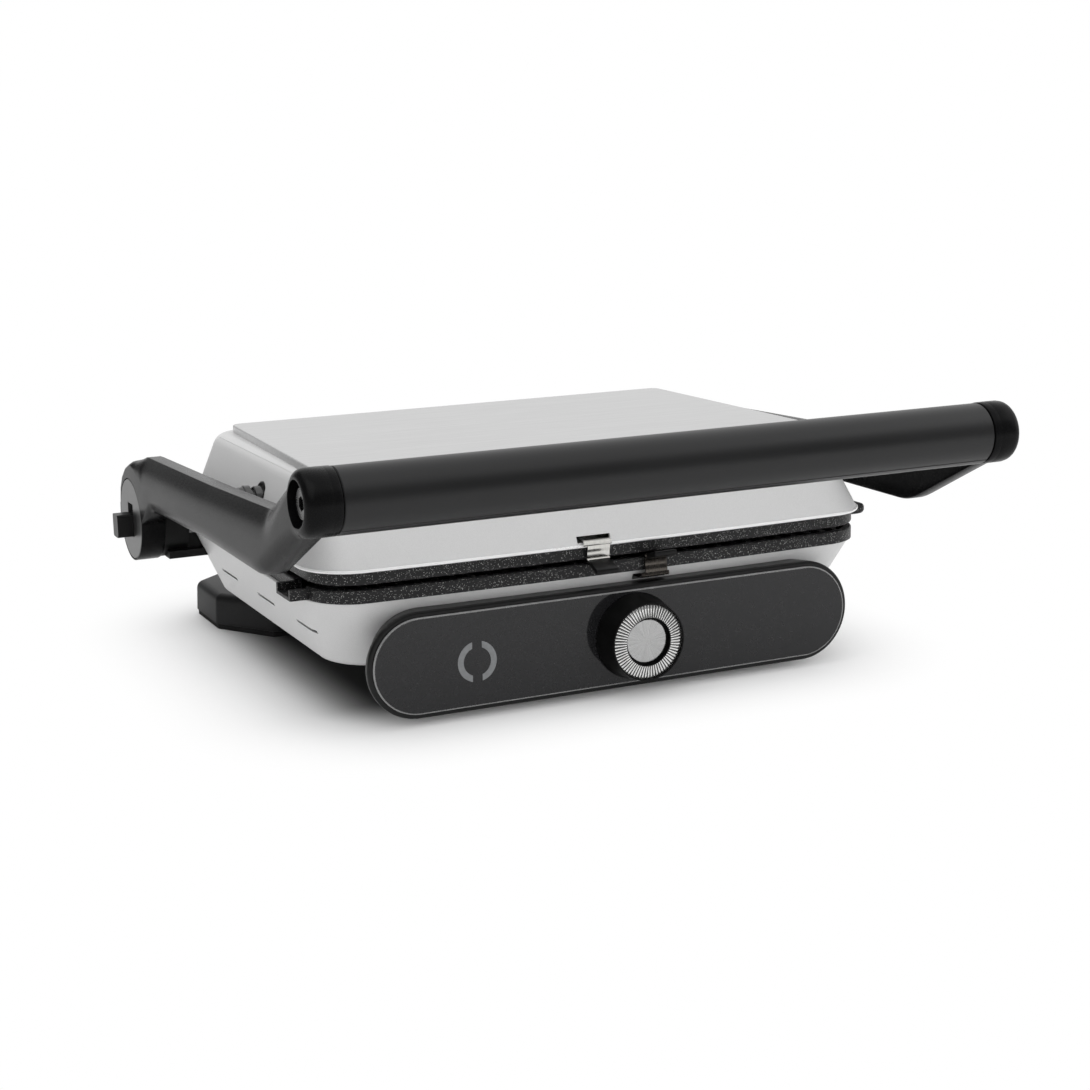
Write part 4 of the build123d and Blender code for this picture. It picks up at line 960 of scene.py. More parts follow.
@dataclass
class Base:
    """The silver tub, its bottom, feet, rear brackets and what is inside."""

    foot_corner: float = 5.0
    foot_cut: float = 23.0
    foot_cut_front: float = 34.0
    foot_cut_rear: float = 20.0
    foot_sole: Profile = ((2.0, 3.0), (0.6, 3.0), (0.15, 3.2), (0.0, 3.7))
    foot_draft: float = 0.5
    foot_wall_top: float = 15.5
    foot_round: float = 4.5
    neck_in: float = 20.0
    neck_y: float = 94.8
    neck_half: Flat = (12.0, 8.0)
    neck_corner: float = 3.0
    neck_low: float = 12.0
    step: float = 1.0

    def build(self) -> None:
        """Dress the base's nodes and build the rear feet."""
        dress(Coat.SILVER, "base_shell")
        dress(Coat.HOUSING, "base_bottom")
        dress(Coat.FOOT, "front_foot_left", "front_foot_right")
        dress(Coat.RUBBER, "rear_foot_pads", "front_foot_pads", "cord_gland")
        dress(Coat.BRACKET, "hinge_bracket_left", "hinge_bracket_right")
        dress(Coat.STEEL, "foot_screws", "panel_screws", "bracket_screws")
        dress(Coat.ELEMENT, "lower_heating_element")
        dress(Coat.SHEET, "lower_reflector", "thermal_fuse")
        dress(Coat.TERMINAL, "terminal_block")
        dress(Coat.SWITCH, "thermostat_body")
        self._rear_foot("rear_foot_block_left", "rear_foot_left", -1.0)
        self._rear_foot("rear_foot_block_right", "rear_foot_right", 1.0)

    def _rear_foot(self, name: str, node: str, side: float) -> None:
        """Build one moulded rear foot: a block with cut corners and a draft, and its neck.

        Args:
            name: The piece's name.
            node: The CAD node that it stands for.
            side: -1 for the left foot or 1 for the right.
        """
        low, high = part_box(node)
        lowest, highest = Vector(low) / MM, Vector(high) / MM
        inner, outer = (highest.x, lowest.x) if side < 0 else (lowest.x, highest.x)
        cut, front, rear = outer - side * self.foot_cut, lowest.y, highest.y
        places = [
            (inner, front), (cut, front), (outer, front + self.foot_cut_front),
            (outer, rear - self.foot_cut_rear), (cut, rear), (inner, rear),
        ]
        outline = rounded([(*place, self.foot_corner) for place in places], self.step)
        rows = [*self.foot_sole, (self.foot_draft, self.foot_wall_top)]
        for degrees in range(15, 91, 15):
            turn = math.radians(degrees)
            drawn_in, rise = self.foot_round * (1 - math.cos(turn)), self.foot_round * math.sin(turn)
            rows.append((self.foot_draft + drawn_in, self.foot_wall_top + rise))
        piece = Piece(name, "base", Coat.FOOT, "foot_plastic")
        rings = [[(x, y, height) for x, y in inset(outline, depth)] for depth, height in rows]
        piece.skin(rings, capped=True)
        neck_x = inner + side * self.neck_in
        flat = cushion(*self.neck_half, self.neck_corner, self.step)
        neck = [(neck_x + u, self.neck_y + v) for u, v in flat]
        piece.skin([[(x, y, height) for x, y in neck] for height in (self.neck_low, highest.z)], capped=True)
        piece.finish(40.0, replaces=(node,))


@dataclass
class ControlPanel:
    """The stadium-shaped housing with its black glass and indicator.

    The rows hold an inset, a depth behind the front and, for the taper, the shortening of the ends.
    """

    middle_z: float = 29.75
    half: float = 131.0
    radius: float = 25.75
    front: float = -103.7
    rim: Profile = ((1.1, 0.0), (0.5, 0.15), (0.14, 0.5), (0.0, 1.1), (0.1, 3.1))
    taper: tuple[Point, ...] = ((0.3, 9.2, 3.4), (0.6, 17.7, 7.0), (0.9, 25.1, 10.2))
    lip_in: float = 2.55
    lip_round: float = 0.25
    pocket: float = 5.2
    glass_in: float = 2.4
    glass_front: float = -105.0
    glass_edge: Profile = ((-0.02, 0.55), (0.12, 0.2), (0.5, 0.0), (0.75, 0.0), (0.75, 0.8), (-0.02, 0.8))

    def _rings(self, rows: Iterable[Sequence[float]], front: float) -> list[list[Point]]:
        """Return stadium rings.

        Args:
            rows: Each ring's inset, depth behind the front, and shortening of the ends if it has one.
            front: The place in y that the depths start from.

        Returns:
            The rings' points.
        """
        rings = []
        for inward, depth, *shorter in rows:
            flat = stadium(self.half - sum(shorter), self.radius, inward)
            rings.append([(MIDDLE_X + x, front + depth, self.middle_z + z) for x, z in flat])
        return rings

    def _housing(self) -> None:
        """Build the housing: a rounded rim round the glass, and sides that draw in towards the shell."""
        piece = Piece("panel_housing", "base", Coat.HOUSING, "black_plastic")
        lip = [(self.lip_in, self.pocket), (self.lip_in, self.lip_round), (self.lip_in - self.lip_round, 0.0)]
        piece.skin(self._rings([*lip, *self.rim, *self.taper], self.front), capped=True)
        piece.finish(35.0, replaces=("control_housing",))

    def _glass_edge(self) -> None:
        """Build the ground and polished bevel round the glass."""
        piece = Piece("glass_edge_bevel", "base", Coat.GLASS_EDGE, "panel_glass")
        rows = [(self.glass_in + inward, depth) for inward, depth in self.glass_edge]
        rings = self._rings(rows, self.glass_front)
        piece.skin([*rings, rings[0]])
        piece.finish(25.0)

    def build(self) -> None:
        """Build the housing and the glass's edge, and dress the rest."""
        self._housing()
        self._glass_edge()
        dress(Coat.GLASS, "control_glass")
        dress(Coat.GUIDE, "indicator_ring")
        dress(Coat.BOARD, "indicator_board")


@dataclass
class Knob:
    """The rotary knob: black body, radially fluted ring and brushed centre."""

    axis: Flat = KNOB_AXIS
    front: float = -119.4
    outer_r: float = 18.55
    inner_r: float = 12.0
    depth: float = 3.0
    lip: float = 0.25
    fall: float = 0.8
    flutes: int = KNOB_FLUTES
    flute_depth: float = 0.35
    flute_wave: tuple[float, ...] = (0.0, 0.5, 1.0, 0.5)
    flute_shares: tuple[float, ...] = (0.12, 0.35, 0.65, 0.95)
    bore_depth: float = 2.9
    cap_r: float = 10.8
    cap_depth: float = 2.4
    cap_edge: Profile = ((0.3, 0.0), (0.08, 0.1), (0.0, 0.35), (0.02, 0.8))
    cap_dish: Profile = ((0.10, 6.0), (0.14, 2.0), (0.16, 0.05))
    count: int = 96

    def build(self) -> None:
        """Dress the body and the shaft, and build the ring, its bore and the cap."""
        dress(Coat.KNOB, "knob_body")
        dress(Coat.STEEL, "thermostat_shaft")
        self._ring()
        self._bore()
        self._cap()

    def _ring(self) -> None:
        """Build the fluted ring, a cone that rises to its inner lip."""
        piece = Piece("knob_fluted_ring", "knob", Coat.KNURL, "knob_chrome")
        inner, outer = self.inner_r, self.outer_r
        rows = [(inner + 0.3, self.depth, 0.0), (inner, self.lip, 0.0), (inner + 0.2, 0.0, 0.0)]
        for share in self.flute_shares:
            rows.append((inner + (outer - inner) * share, self.fall * share, min(1.0, share * 3.0)))
        rows += [(outer, self.fall + 0.3, 0.3), (outer, self.depth, 0.0), rows[0]]
        rings = []
        for radius, depth, flute in rows:
            sunk = [self.front + depth + flute * wave * self.flute_depth for wave in self.flute_wave]
            flat = circle(self.flutes * len(sunk), radius, self.axis)
            rings.append([(x, sunk[index % len(sunk)], z) for index, (x, z) in enumerate(flat)])
        piece.skin(rings)
        piece.finish(50.0, replaces=("knob_ring",))

    def _turned(self, piece: Piece, rows: Iterable[Flat]) -> None:
        """Add a turned form to a piece, from depths behind the knob's face and radii."""
        piece.turned(1, self.axis, [(self.front + depth, radius) for depth, radius in rows], self.count)

    def _bore(self) -> None:
        """Build the black bore inside the ring."""
        wall = self.inner_r - 0.12
        rows = [(0.3, self.inner_r - 0.02), (0.35, wall)]
        rows += [(self.bore_depth, wall), (self.bore_depth, self.cap_r - 1.0)]
        piece = Piece("knob_bore", "knob", Coat.KNOB, "black_plastic")
        self._turned(piece, rows)
        piece.finish(40.0)

    def _cap(self) -> None:
        """Build the sunk centre as a turned disc with a softened edge."""
        rows = [(self.depth, self.cap_r)]
        rows += [(self.cap_depth + sunk, self.cap_r - inward) for sunk, inward in self.cap_edge]
        rows += [(self.cap_depth + sunk, radius) for sunk, radius in self.cap_dish]
        piece = Piece("knob_turned_cap", "knob", Coat.FACE, "knob_face")
        self._turned(piece, rows)
        piece.finish(50.0, replaces=("knob_cap",))


@dataclass
class GrillPlates:
    """The two speckled plates, their catches and the sprung clips at the front.

    The clips' lines hold places in y and heights above the plates' joint, for the upper clip.
    """

    mating_z: float = 68.325
    upper_x: float = -7.15
    lower_x: float = 24.35
    sheet: float = 0.6
    hook_w: float = 15.0
    hook_shift: float = 0.6
    hook: Profile = (
        (-91.0, 10.7), (-97.0, 10.7), (-100.9, 10.7), (-102.0, 10.4), (-102.4, 9.8),
        (-102.3, 9.1), (-102.0, 8.5),
    )
    strip_w: float = 12.0
    strip_shift: float = 1.3
    strip: Profile = (
        (-101.95, 9.0), (-102.0, 7.2), (-101.85, 6.4), (-101.5, 5.6), (-101.4, 4.6),
        (-101.4, 3.0), (-101.15, 2.5), (-100.9, 2.2), (-101.15, 1.9), (-101.55, 1.6),
        (-101.85, 1.1), (-101.8, 0.5), (-101.3, 0.0), (-100.5, -0.25), (-97.9, -0.25),
    )
    tab_w: float = 12.0
    tab_thick: float = 2.6
    tab_root: Flat = (-102.3, 0.4)
    tab_corner: float = 0.5
    tab_rows: tuple[tuple[float, float, float, float], ...] = (
        (0.0, 0.0, 0.44, 0.5), (0.0, 0.0, 0.46, 0.9), (0.3, 0.1, 0.47, 1.0), (7.6, 2.6, 0.5, 1.0),
        (8.9, 3.05, 0.5, 1.0), (9.4, 3.2, 0.49, 0.8), (9.6, 3.25, 0.46, 0.5),
    )
    lug_y: float = -66.2
    lug_z: Flat = (69.6, 75.4)
    lug_x: Flat = (150.0, 165.5)
    lug_half: float = 10.0
    lug_end: Profile = ((4.0, 1.0), (1.6, 0.92), (0.5, 0.74), (0.0, 0.45))

    def build(self) -> None:
        """Dress the plates and their fixings, and build the clips and the lug."""
        dress(Coat.PLATE, "lower_plate", "upper_plate")
        dress(Coat.CLIP, "lower_clip_bracket", "upper_clip_bracket")
        dress(Coat.CLIP, "lower_rear_catches", "upper_rear_catches")
        dress(Coat.STEEL, "lower_clip_pin", "upper_clip_pin")
        self._clip("upper", self.upper_x, 1.0, Coat.CLIP)
        # The lower clip's strip is in the darker steel, as painted shade.
        self._clip("lower", self.lower_x, -1.0, Coat.CLIP_PAINTED_SHADE)
        self._lug()

    def _lug(self) -> None:
        """Build the upper plate's rounded end lug, which shows beside the lid."""
        low, high = self.lug_z
        rings = []
        for back, share in ((self.lug_x[1] - self.lug_x[0], 1.0), *self.lug_end):
            tall, wide = (high - low) / 2 * share, self.lug_half * (0.6 + 0.4 * share)
            flat = cushion(wide, tall, tall * 0.8, 0.6)
            rings.append([(self.lug_x[1] - back, self.lug_y + u, (low + high) / 2 + v) for u, v in flat])
        count = min(len(ring) for ring in rings)
        piece = Piece("upper_plate_lug", "lid", Coat.PLATE, "grill_coating")
        made = piece.skin([[ring[index * len(ring) // count] for index in range(count)] for ring in rings])
        piece.mesh.faces.new(made[-1])
        piece.finish(40.0)

    def _clip(self, side: str, middle: float, up: float, coat: Coat) -> None:
        """Build one sprung clip: a bent strip with a rolled lip, and its thumb tab.

        Args:
            side: The plate that it holds, upper or lower.
            middle: Its place in x.
            up: 1 for the upper clip, or -1 for the lower one, which is turned over.
            coat: The strip's finish.
        """
        strip = Piece(f"{side}_clip_strip", f"{side}_clip", coat, "clip_steel")
        for line, width, shift in (
            (self.hook, self.hook_w, self.hook_shift), (self.strip, self.strip_w, self.strip_shift),
        ):
            points = [(y, self.mating_z + up * height) for y, height in line]
            strip.ribbon(points, self.sheet, middle + shift - width / 2, middle + shift + width / 2)
        strip.finish(30.0, replaces=(f"{side}_clip",))
        tab = Piece(f"{side}_clip_thumb_tab", f"{side}_clip", Coat.TAB, "clip_tab")
        rings = []
        for reach, drop, half, thick in self.tab_rows:
            y, z = self.tab_root[0] - reach, self.mating_z + up * (self.tab_root[1] - drop)
            high = thick * self.tab_thick / 2
            flat = cushion(half * self.tab_w, high, min(self.tab_corner, high * 0.8), 0.4)
            rings.append([(middle + self.strip_shift + u, y, z + v) for u, v in flat])
        tab.skin(rings, capped=True)
        tab.finish(40.0, replaces=(f"{side}_clip_tab",))


@dataclass
class Lid:
    """The lid's shell, top panel, side pivots and what is inside.

    The bush's and the stud's rows hold a distance outwards from the bush's inner end, and a radius.
    """

    half: float = 152.7
    front: float = -97.7
    rear: float = 119.1
    bow: float = 3.5
    bow_shares: tuple[float, ...] = (-0.6, -0.4, -0.2, 0.0, 0.2, 0.4, 0.6)
    corner_front: float = 25.8
    corner_rear: float = 19.8
    rim_z: float = 76.5
    bead: float = 0.75
    pivot: Flat = (2.8, 96.0)
    bush_in: float = 139.7
    bush: Profile = ((0.0, 7.4), (4.2, 7.4), (4.8, 6.8), (4.8, 4.2))
    stud: Profile = (
        (4.0, 5.4), (8.6, 5.4), (9.0, 5.0), (9.0, 3.6), (11.0, 3.6), (11.0, 6.2),
        (14.0, 6.2), (14.4, 5.8), (19.7, 4.9), (20.1, 4.4), (20.1, 3.6), (22.3, 3.6),
        (22.3, 5.2), (22.8, 5.7), (28.0, 5.7), (28.7, 5.0),
    )

    def build(self) -> None:
        """Dress the lid's nodes, and build the rim's bead and the pivots."""
        dress(Coat.SILVER, "lid_shell")
        dress(Coat.LID_TOP, "lid_top_panel")
        dress(Coat.STEEL, "lid_screws")
        dress(Coat.FIBRE, "insulation_pad")
        dress(Coat.ELEMENT, "upper_heating_element")
        dress(Coat.SHEET, "upper_reflector")
        self._rim()
        self._pivot("left", -1.0)
        self._pivot("right", 1.0)

    def _rim(self) -> None:
        """Build the rolled bead along the lid's lower rim, coated much lighter than the shell as a painted
        highlight.
        """
        half, front = self.half, self.front
        corners = [(half, front, self.corner_front), (half, self.rear, self.corner_rear)]
        corners += [(-half, self.rear, self.corner_rear), (-half, front, self.corner_front)]
        for share in self.bow_shares:
            corners.append((half * share, front - self.bow * (1.0 - share * share), 0.0))
        outline = rounded(corners, 2.0)
        piece = Piece("lid_rim_bead", "lid", Coat.RIM_PAINTED_HIGHLIGHT, "silver_shell")
        rings = []
        for across, up in circle(10, 1.0):
            points = inset(outline, self.bead * 0.5 - across * self.bead * 0.8)
            rings.append([(MIDDLE_X + x, y, self.rim_z + up * self.bead) for x, y in points])
        piece.skin([*rings, rings[0]])
        piece.finish(60.0)

    def _pivot(self, name: str, side: float) -> None:
        """Build one lid pivot: the lid's slim bush, and the stud that the arm holds, darkened as painted
        shade.

        Args:
            name: The pivot's side, left or right.
            side: -1 for left or 1 for right.
        """
        bush = Piece(f"lid_pivot_bush_{name}", "lid", Coat.TAB, "black_plastic")
        stud = Piece(f"pivot_stud_{name}", "handle_frame", Coat.STEEL_PAINTED_SHADE, "steel_fixing")
        for piece, rows, node in (
            (bush, self.bush, f"lid_pivot_{name}"), (stud, self.stud, f"pivot_screw_{name}"),
        ):
            places = [(MIDDLE_X + side * (self.bush_in + reach), radius) for reach, radius in rows]
            piece.turned(0, self.pivot, places, 40, capped=True)
            piece.finish(30.0, replaces=(node,))


@dataclass
class HandleFrame:
    """The two arms with their hinge discs, the handle tube and the release lever.

    The arm's edges hold places in y and z, and for long bends a radius.
    """

    outer: float = 181.5
    inner: float = 168.0
    hinge: Flat = (121.8, 67.0)
    hub_r: float = 22.8
    hub_arc: Flat = (178.0, 374.0)
    disc_r: float = 22.1
    disc_depth: float = 5.5
    grip: Flat = (-162.8, 124.5)
    grip_r: float = 15.0
    neck_half: float = 12.45
    slope_deg: float = 27.0
    shoulder: Profile = ((143.5, 72.7), (141.6, 81.0), (137.0, 87.8), (129.4, 93.8), (117.5, 99.3))
    top_edge: tuple[Point, ...] = ((98.0, 104.2, 30.0), (-19.2, 108.5, 60.0), (-113.4, 113.3, 12.0))
    low_edge: tuple[Point, ...] = ((-103.86, 80.5, 40.0), (-15.2, 80.5, 60.0), (79.8, 77.0, 12.0))
    outline_step: float = 3.0
    inner_edge: Profile = ((0.0, 1.5), (0.45, 0.45), (1.5, 0.0))
    recess_r: float = 11.0
    recess_depth: float = 6.0
    crown_top: float = 15.0
    crown_low: float = 8.5
    crown_drop: float = 4.8
    crown_shares: tuple[float, ...] = (0.0, 0.08, 0.18, 0.3, 0.45, 0.6, 0.75, 0.88, 1.0)
    spine_z: float = 92.5
    spine_fall: float = 0.025
    low_round: float = 6.0
    hub_margin: float = 14.0
    hub_soft: float = 0.35
    grip_soft: float = 4.6
    grip_soft_most: float = 4.7
    elbow_y: float = -100.0
    elbow_slope: float = 0.9
    smoothings: int = 24
    seam: float = 165.0
    stub_bore: float = 13.0
    sleeve_gap: float = 0.05
    sleeve_wall: float = 1.6
    strip_deg: float = 37.0
    strip_rise: float = 0.28
    strip_turn: float = 0.016
    sleeve_end: Profile = ((0.0, 1.0), (0.0, 0.5), (0.5, 0.0))

    def build(self) -> None:
        """Dress the hinge's and handle's fixings, and build the arms and the sleeve."""
        dress(Coat.HUB, "hinge_cap_left", "hinge_cap_right")
        dress(Coat.TAB, "release_lever")
        dress(Coat.STEEL, "hinge_axle_left", "hinge_axle_right")
        # The rod and the nuts in the grips' recesses take the darker steel, as painted shade.
        dress(Coat.STEEL_PAINTED_SHADE, "handle_rod", "handle_nuts")
        self._arm("arm_casting_left", "arm_left", -1.0)
        self._arm("arm_casting_right", "arm_right", 1.0)
        self._sleeve()

    def _outline(self) -> list[Flat]:
        """Return the arm from the side.

        Returns:
            Points in y and z, from the shoulder round the handle and back to the hub.
        """
        slope = math.radians(self.slope_deg)
        along = Vector((-math.cos(slope), math.sin(slope)))
        across = Vector((math.sin(slope), math.cos(slope)))
        grip = Vector(self.grip)
        short = -math.sqrt(self.grip_r ** 2 - self.neck_half ** 2)
        ends = [grip + across * half + along * short for half in (self.neck_half, -self.neck_half)]
        first, last = (math.atan2(end.y - grip.y, end.x - grip.x) for end in ends)
        corners = [(*place, 0.0) for place in self.shoulder] + [*self.top_edge, (*ends[0], 0.0)]
        corners += self._arc(self.grip, self.grip_r, first, last + FULL_TURN, 40)[1:-1]
        corners += [(*ends[1], 0.0), *self.low_edge]
        corners += self._arc(self.hinge, self.hub_r, *(math.radians(degrees) for degrees in self.hub_arc), 31)
        coarse = rounded(corners, 2.0)
        outline: list[Flat] = []
        for start, end in zip(coarse, [*coarse[1:], coarse[0]]):
            steps = max(1, round(math.dist(start, end) / self.outline_step))
            outline += [tuple(Vector(start).lerp(Vector(end), number / steps)) for number in range(steps)]
        return outline

    @staticmethod
    def _arc(centre: Flat, radius: float, start: float, end: float, steps: int) -> list[Point]:
        """Return plain corners along an arc.

        Args:
            centre: Its centre in y and z.
            radius: Its radius.
            start: The angle that it starts at, in radians.
            end: The angle that it ends at.
            steps: The number of pieces in it.

        Returns:
            The corners from start to end, each with a radius of 0.
        """
        angles = [start + (end - start) * index / steps for index in range(steps + 1)]
        return [(centre[0] + radius * math.cos(a), centre[1] + radius * math.sin(a), 0.0) for a in angles]

    def _softness(self, outline: Sequence[Flat]) -> list[float]:
        """Return how far the arm's outer edge is rounded in.

        Args:
            outline: The arm's points from the side.

        Returns:
            A depth for each point: wide on the crowned top, narrow at the hub and the grip.
        """
        depths = []
        for y, z in outline:
            from_hub = math.dist((y, z), self.hinge)
            above_spine = z - (self.spine_z - self.spine_fall * y)
            on_top = above_spine > self.elbow_slope * max(0.0, self.elbow_y - y)
            depth = self.crown_top if on_top else self.crown_low
            if math.dist((y, z), self.grip) < self.grip_r + 0.2:
                depth = self.grip_soft
            if from_hub < self.hub_r + self.hub_margin:
                depth = self.hub_soft + (from_hub - self.hub_r) * 0.1
            depths.append(max(0.3, depth))
        count = len(depths)
        for _ in range(self.smoothings):
            depths = [
                depths[i] * 0.5 + (depths[i - 1] + depths[(i + 1) % count]) * 0.25 for i in range(count)
            ]
        for index, point in enumerate(outline):
            if math.dist(point, self.hinge) < self.hub_r + 0.3:
                depths[index] = self.hub_soft
            if math.dist(point, self.grip) < self.grip_r + 0.1:
                depths[index] = min(depths[index], self.grip_soft_most)
        return depths

    def _arm(self, name: str, node: str, side: float) -> None:
        """Build one cast arm: crowned top, soft lower edge, hub pocket, nut's recess and grip stub.

        Args:
            name: The piece's name.
            node: The CAD node that it stands for.
            side: -1 for the left arm or 1 for the right.
        """
        piece = Piece(name, "handle_frame", Coat.ARM, "dark_arm")
        outline = self._outline()
        depths = self._softness(outline)
        rings = []
        for out, depth in self.inner_edge:
            rings.append([(MIDDLE_X + side * (self.inner + out), y, z) for y, z in inset(outline, depth)])
        tops = [max(0.0, (depth - self.crown_low) / (self.crown_top - self.crown_low)) for depth in depths]
        for share in self.crown_shares:
            points = []
            for depth, top, (y, z) in zip(depths, tops, inset(outline, [depth * share for depth in depths])):
                soft = min(depth, self.low_round) * (1.0 - math.sqrt(1.0 - (1.0 - share) ** 2))
                crisp = self.crown_drop * (1.0 - share) ** 2
                points.append((MIDDLE_X + side * (self.outer - (soft * (1.0 - top) + crisp * top)), y, z))
            rings.append(points)
        made = piece.skin(rings)
        piece.mesh.faces.new(made[0])
        holes = []
        for centre, radius, depth, count in (
            (self.hinge, self.disc_r, self.disc_depth, 72), (self.grip, self.recess_r, self.recess_depth, 56),
        ):
            bed = self.outer - depth
            rows = ((self.outer, radius), (bed + 0.05, radius), (bed - 0.02, radius - 0.3))
            pocket = piece.turned(0, centre, [(MIDDLE_X + side * x, r) for x, r in rows], count)
            piece.mesh.faces.new(pocket[-1])
            holes.append(pocket[0])
        piece.pierced(made[-1], holes)
        inner, seam, full = self.inner + 2.0, self.seam, self.grip_r - self.sleeve_gap
        rows = ((inner, self.stub_bore), (inner, full), (seam + 1.0, full), (seam + 0.6, full - 0.2),
                (seam + 0.4, full - 0.65), (seam + 0.4, self.stub_bore))
        piece.turned(0, self.grip, [(MIDDLE_X + side * x, radius) for x, radius in rows], 80)
        piece.finish(38.0, replaces=(node,))

    def _sleeve(self) -> None:
        """Build the handle's sleeve: an upper shell and a lower strip that meet in a fine raised line."""
        line, turn = math.radians(self.strip_deg), self.strip_turn
        angles = [FULL_TURN * index / 90 for index in range(90)]
        angles += [side * line + off for side in (1.0, -1.0) for off in (-0.012, 0.0, turn, 0.03)]
        spokes = []
        for angle in sorted(angle % FULL_TURN for angle in angles):
            past = (min(angle, FULL_TURN - angle) - line) / turn
            radius = self.grip_r - self.sleeve_gap - self.strip_rise * min(1.0, max(0.0, past))
            spokes.append((angle, radius))
        ends = [(out - self.seam, depth) for out, depth in self.sleeve_end]
        ends += [(self.seam - out, depth) for out, depth in reversed(self.sleeve_end)]
        rings = []
        for x, depth in ends:
            rings.append([
                (MIDDLE_X + x, self.grip[0] - (radius - depth) * math.sin(angle),
                 self.grip[1] - (radius - depth) * math.cos(angle))
                for angle, radius in spokes
            ])
        piece = Piece("handle_sleeve", "handle_frame", Coat.HANDLE, "black_handle")
        piece.skin(rings)
        bore = [(MIDDLE_X + x, self.grip_r - self.sleeve_wall) for x in (-self.seam, self.seam)]
        piece.turned(0, self.grip, bore, 64)
        piece.finish(12.0, replaces=("handle_tube",))


@dataclass(frozen=True)
class Lamp:
    """One square soft lamp that faces a target, in metres and watts."""

    name: str
    place: Point
    target: Point
    size: float
    power: float
    glossy: bool = True

    def build(self) -> None:
        """Hang the lamp; without glossy, shiny surfaces don't show it."""
        lamp = bpy.data.lights.new(self.name, "AREA")
        lamp.shape = "SQUARE"
        lamp.size = self.size
        lamp.energy = self.power
        holder = bpy.data.objects.new(self.name, lamp)
        holder.location = self.place
        aim = Vector(self.target) - Vector(self.place)
        holder.rotation_euler = aim.to_track_quat("-Z", "Y").to_euler()
        holder.visible_glossy = self.glossy
        bpy.context.scene.collection.objects.link(holder)


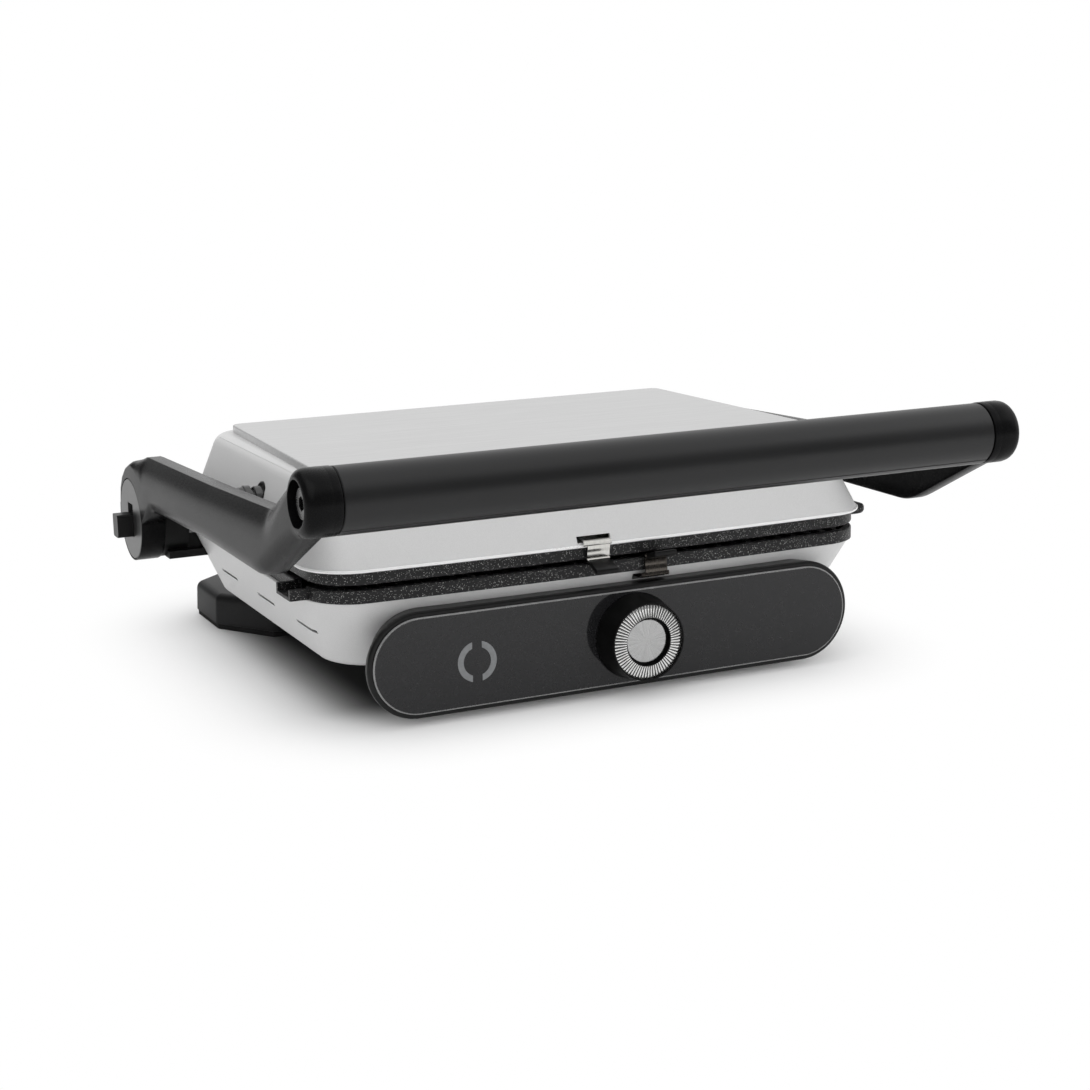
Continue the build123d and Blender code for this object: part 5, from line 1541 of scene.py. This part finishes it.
@dataclass
class Studio:
    """The pale floor, the soft lamps, the world and the camera, in metres."""

    eye: Point = (-0.43715, -0.9522, 0.2888)
    azimuth_deg: float = 25.348
    elevation_deg: float = 12.528
    roll_deg: float = -0.976
    lens: float = 67.08
    sensor: float = 36.0
    floor_half: float = 8.0
    shadow_middle: Flat = (0.0, 0.035)
    shadow_half: Flat = (0.100, 0.090)
    painted_shadow_reach: float = 0.045
    near_white: float = 0.32
    near_fade: Flat = (0.015, 0.08)
    far_fade: Flat = (0.04, 0.115)
    room_height: float = 0.26
    room_edge: Flat = (0.24, 0.50)
    room_dark: float = 0.86
    soft_light: float = 0.80
    lamps: tuple[Lamp, ...] = (
        Lamp("key_panel", (-0.9, -0.8, 1.4), (0.0, 0.0, 0.05), size=1.8, power=9.0),
        Lamp("side_panel", (1.3, -0.5, 0.8), (0.0, 0.0, 0.05), size=1.2, power=2.5),
        Lamp("rear_panel", (-0.2, 1.7, 0.9), (0.0, 0.0, 0.08), size=1.4, power=5.0, glossy=False),
        Lamp("front_fill", (0.9, -1.3, 0.32), (0.0, -0.1, 0.05), size=1.0, power=7.0, glossy=False),
    )

    def build(self) -> None:
        """Make the floor, world, lamps and camera."""
        self._floor()
        self._world()
        for lamp in self.lamps:
            lamp.build()
        self._camera()

    def _floor(self) -> None:
        """Make a wide pale floor that keeps the object's shadow, adds a painted shadow round it, and fades
        into the white background.
        """
        sheet = NodeSheet("studio_floor")
        x, y, _ = sheet.axes()
        side = (abs(x - self.shadow_middle[0]) - self.shadow_half[0]).at_least(0.0)
        deep = (abs(y - self.shadow_middle[1]) - self.shadow_half[1]).at_least(0.0)
        away = (side * side + deep * deep) ** 0.5
        near, far = away.band(*self.near_fade), away.band(*self.far_fade)
        fade = near * self.near_white + far * (1.0 - self.near_white)
        # Painted shadow: where the camera sees it, the floor's colour goes nearly black (grey 0.03) round the
        # object's footprint.
        under = 1.0 - away.band(0.0, self.painted_shadow_reach)
        seen = sheet.signal("ShaderNodeLightPath", "Is Camera Ray")
        pale = sheet.mix(sheet.noise(30.0, 3.0), grey(0.92), grey(0.94))
        sheet.surface(Base_Color=sheet.mix(under * seen, pale, grey(0.03)), Roughness=0.9)
        white = sheet.add("ShaderNodeEmission", {}, {"Color": grey(1.0), "Strength": 1.0})
        sockets = {0: seen * fade, 1: sheet.shader.outputs[0], 2: white.outputs[0]}
        sheet.feed(sheet.output.inputs[0], sheet.add("ShaderNodeMixShader", {}, sockets).outputs[0])
        half = self.floor_half
        corners = [(-half, -half, 0), (half, -half, 0), (half, half, 0), (-half, half, 0)]
        data = bpy.data.meshes.new("floor")
        data.from_pydata(corners, [], [(0, 1, 2, 3)])
        data.materials.append(sheet.material)
        floor = bpy.data.objects.new("floor", data)
        bpy.context.scene.collection.objects.link(floor)

    def _world(self) -> None:
        """Make a white surround with a darker room in front, which only soft reflections show."""
        world = bpy.data.worlds.new("studio_world")
        bpy.context.scene.world = world
        sheet = SkySheet(world)
        across, ahead, height = sheet.axes("Generated")
        level = 1.0 - abs(height - self.room_height).band(*self.room_edge)
        room = ((-ahead).band(0.25, 0.7) + (-across).band(0.05, 0.30)).band(0.0, 1.0) * level
        camera, glossy, clear = (
            sheet.signal("ShaderNodeLightPath", ray)
            for ray in ("Is Camera Ray", "Is Glossy Ray", "Is Transmission Ray")
        )
        mirror = (glossy + clear).band(0.0, 1.0)
        unseen = mirror * (1.0 - room * self.room_dark) + (1.0 - mirror) * self.soft_light
        sheet.glow(camera + (1.0 - camera) * unseen)

    def _camera(self) -> None:
        """Place the camera at the photograph's view."""
        degrees = (self.azimuth_deg, self.elevation_deg, self.roll_deg)
        azimuth, elevation, roll = (math.radians(angle) for angle in degrees)
        flat = math.cos(elevation)
        ahead = Vector((math.sin(azimuth) * flat, math.cos(azimuth) * flat, -math.sin(elevation)))
        level = ahead.cross(Vector((0.0, 0.0, 1.0))).normalized()
        right = level * math.cos(roll) + level.cross(ahead) * math.sin(roll)
        turn = Matrix((right, right.cross(ahead), -ahead)).transposed().to_4x4()
        data = bpy.data.cameras.new("photo_view")
        data.lens = self.lens
        data.sensor_width = self.sensor
        camera = bpy.data.objects.new("photo_view", data)
        camera.matrix_world = Matrix.Translation(self.eye) @ turn
        bpy.context.scene.collection.objects.link(camera)
        bpy.context.scene.camera = camera


def main() -> None:
    """Build the grill's looks and the studio round it."""
    logging.basicConfig(level=logging.INFO)
    for part in (Base(), ControlPanel(), Knob(), GrillPlates(), Lid(), HandleFrame(), Studio()):
        LOG.info("building %s", type(part).__name__)
        part.build()
    bpy.context.scene.view_settings.view_transform = "Standard"


if __name__ == "__main__":
    main()
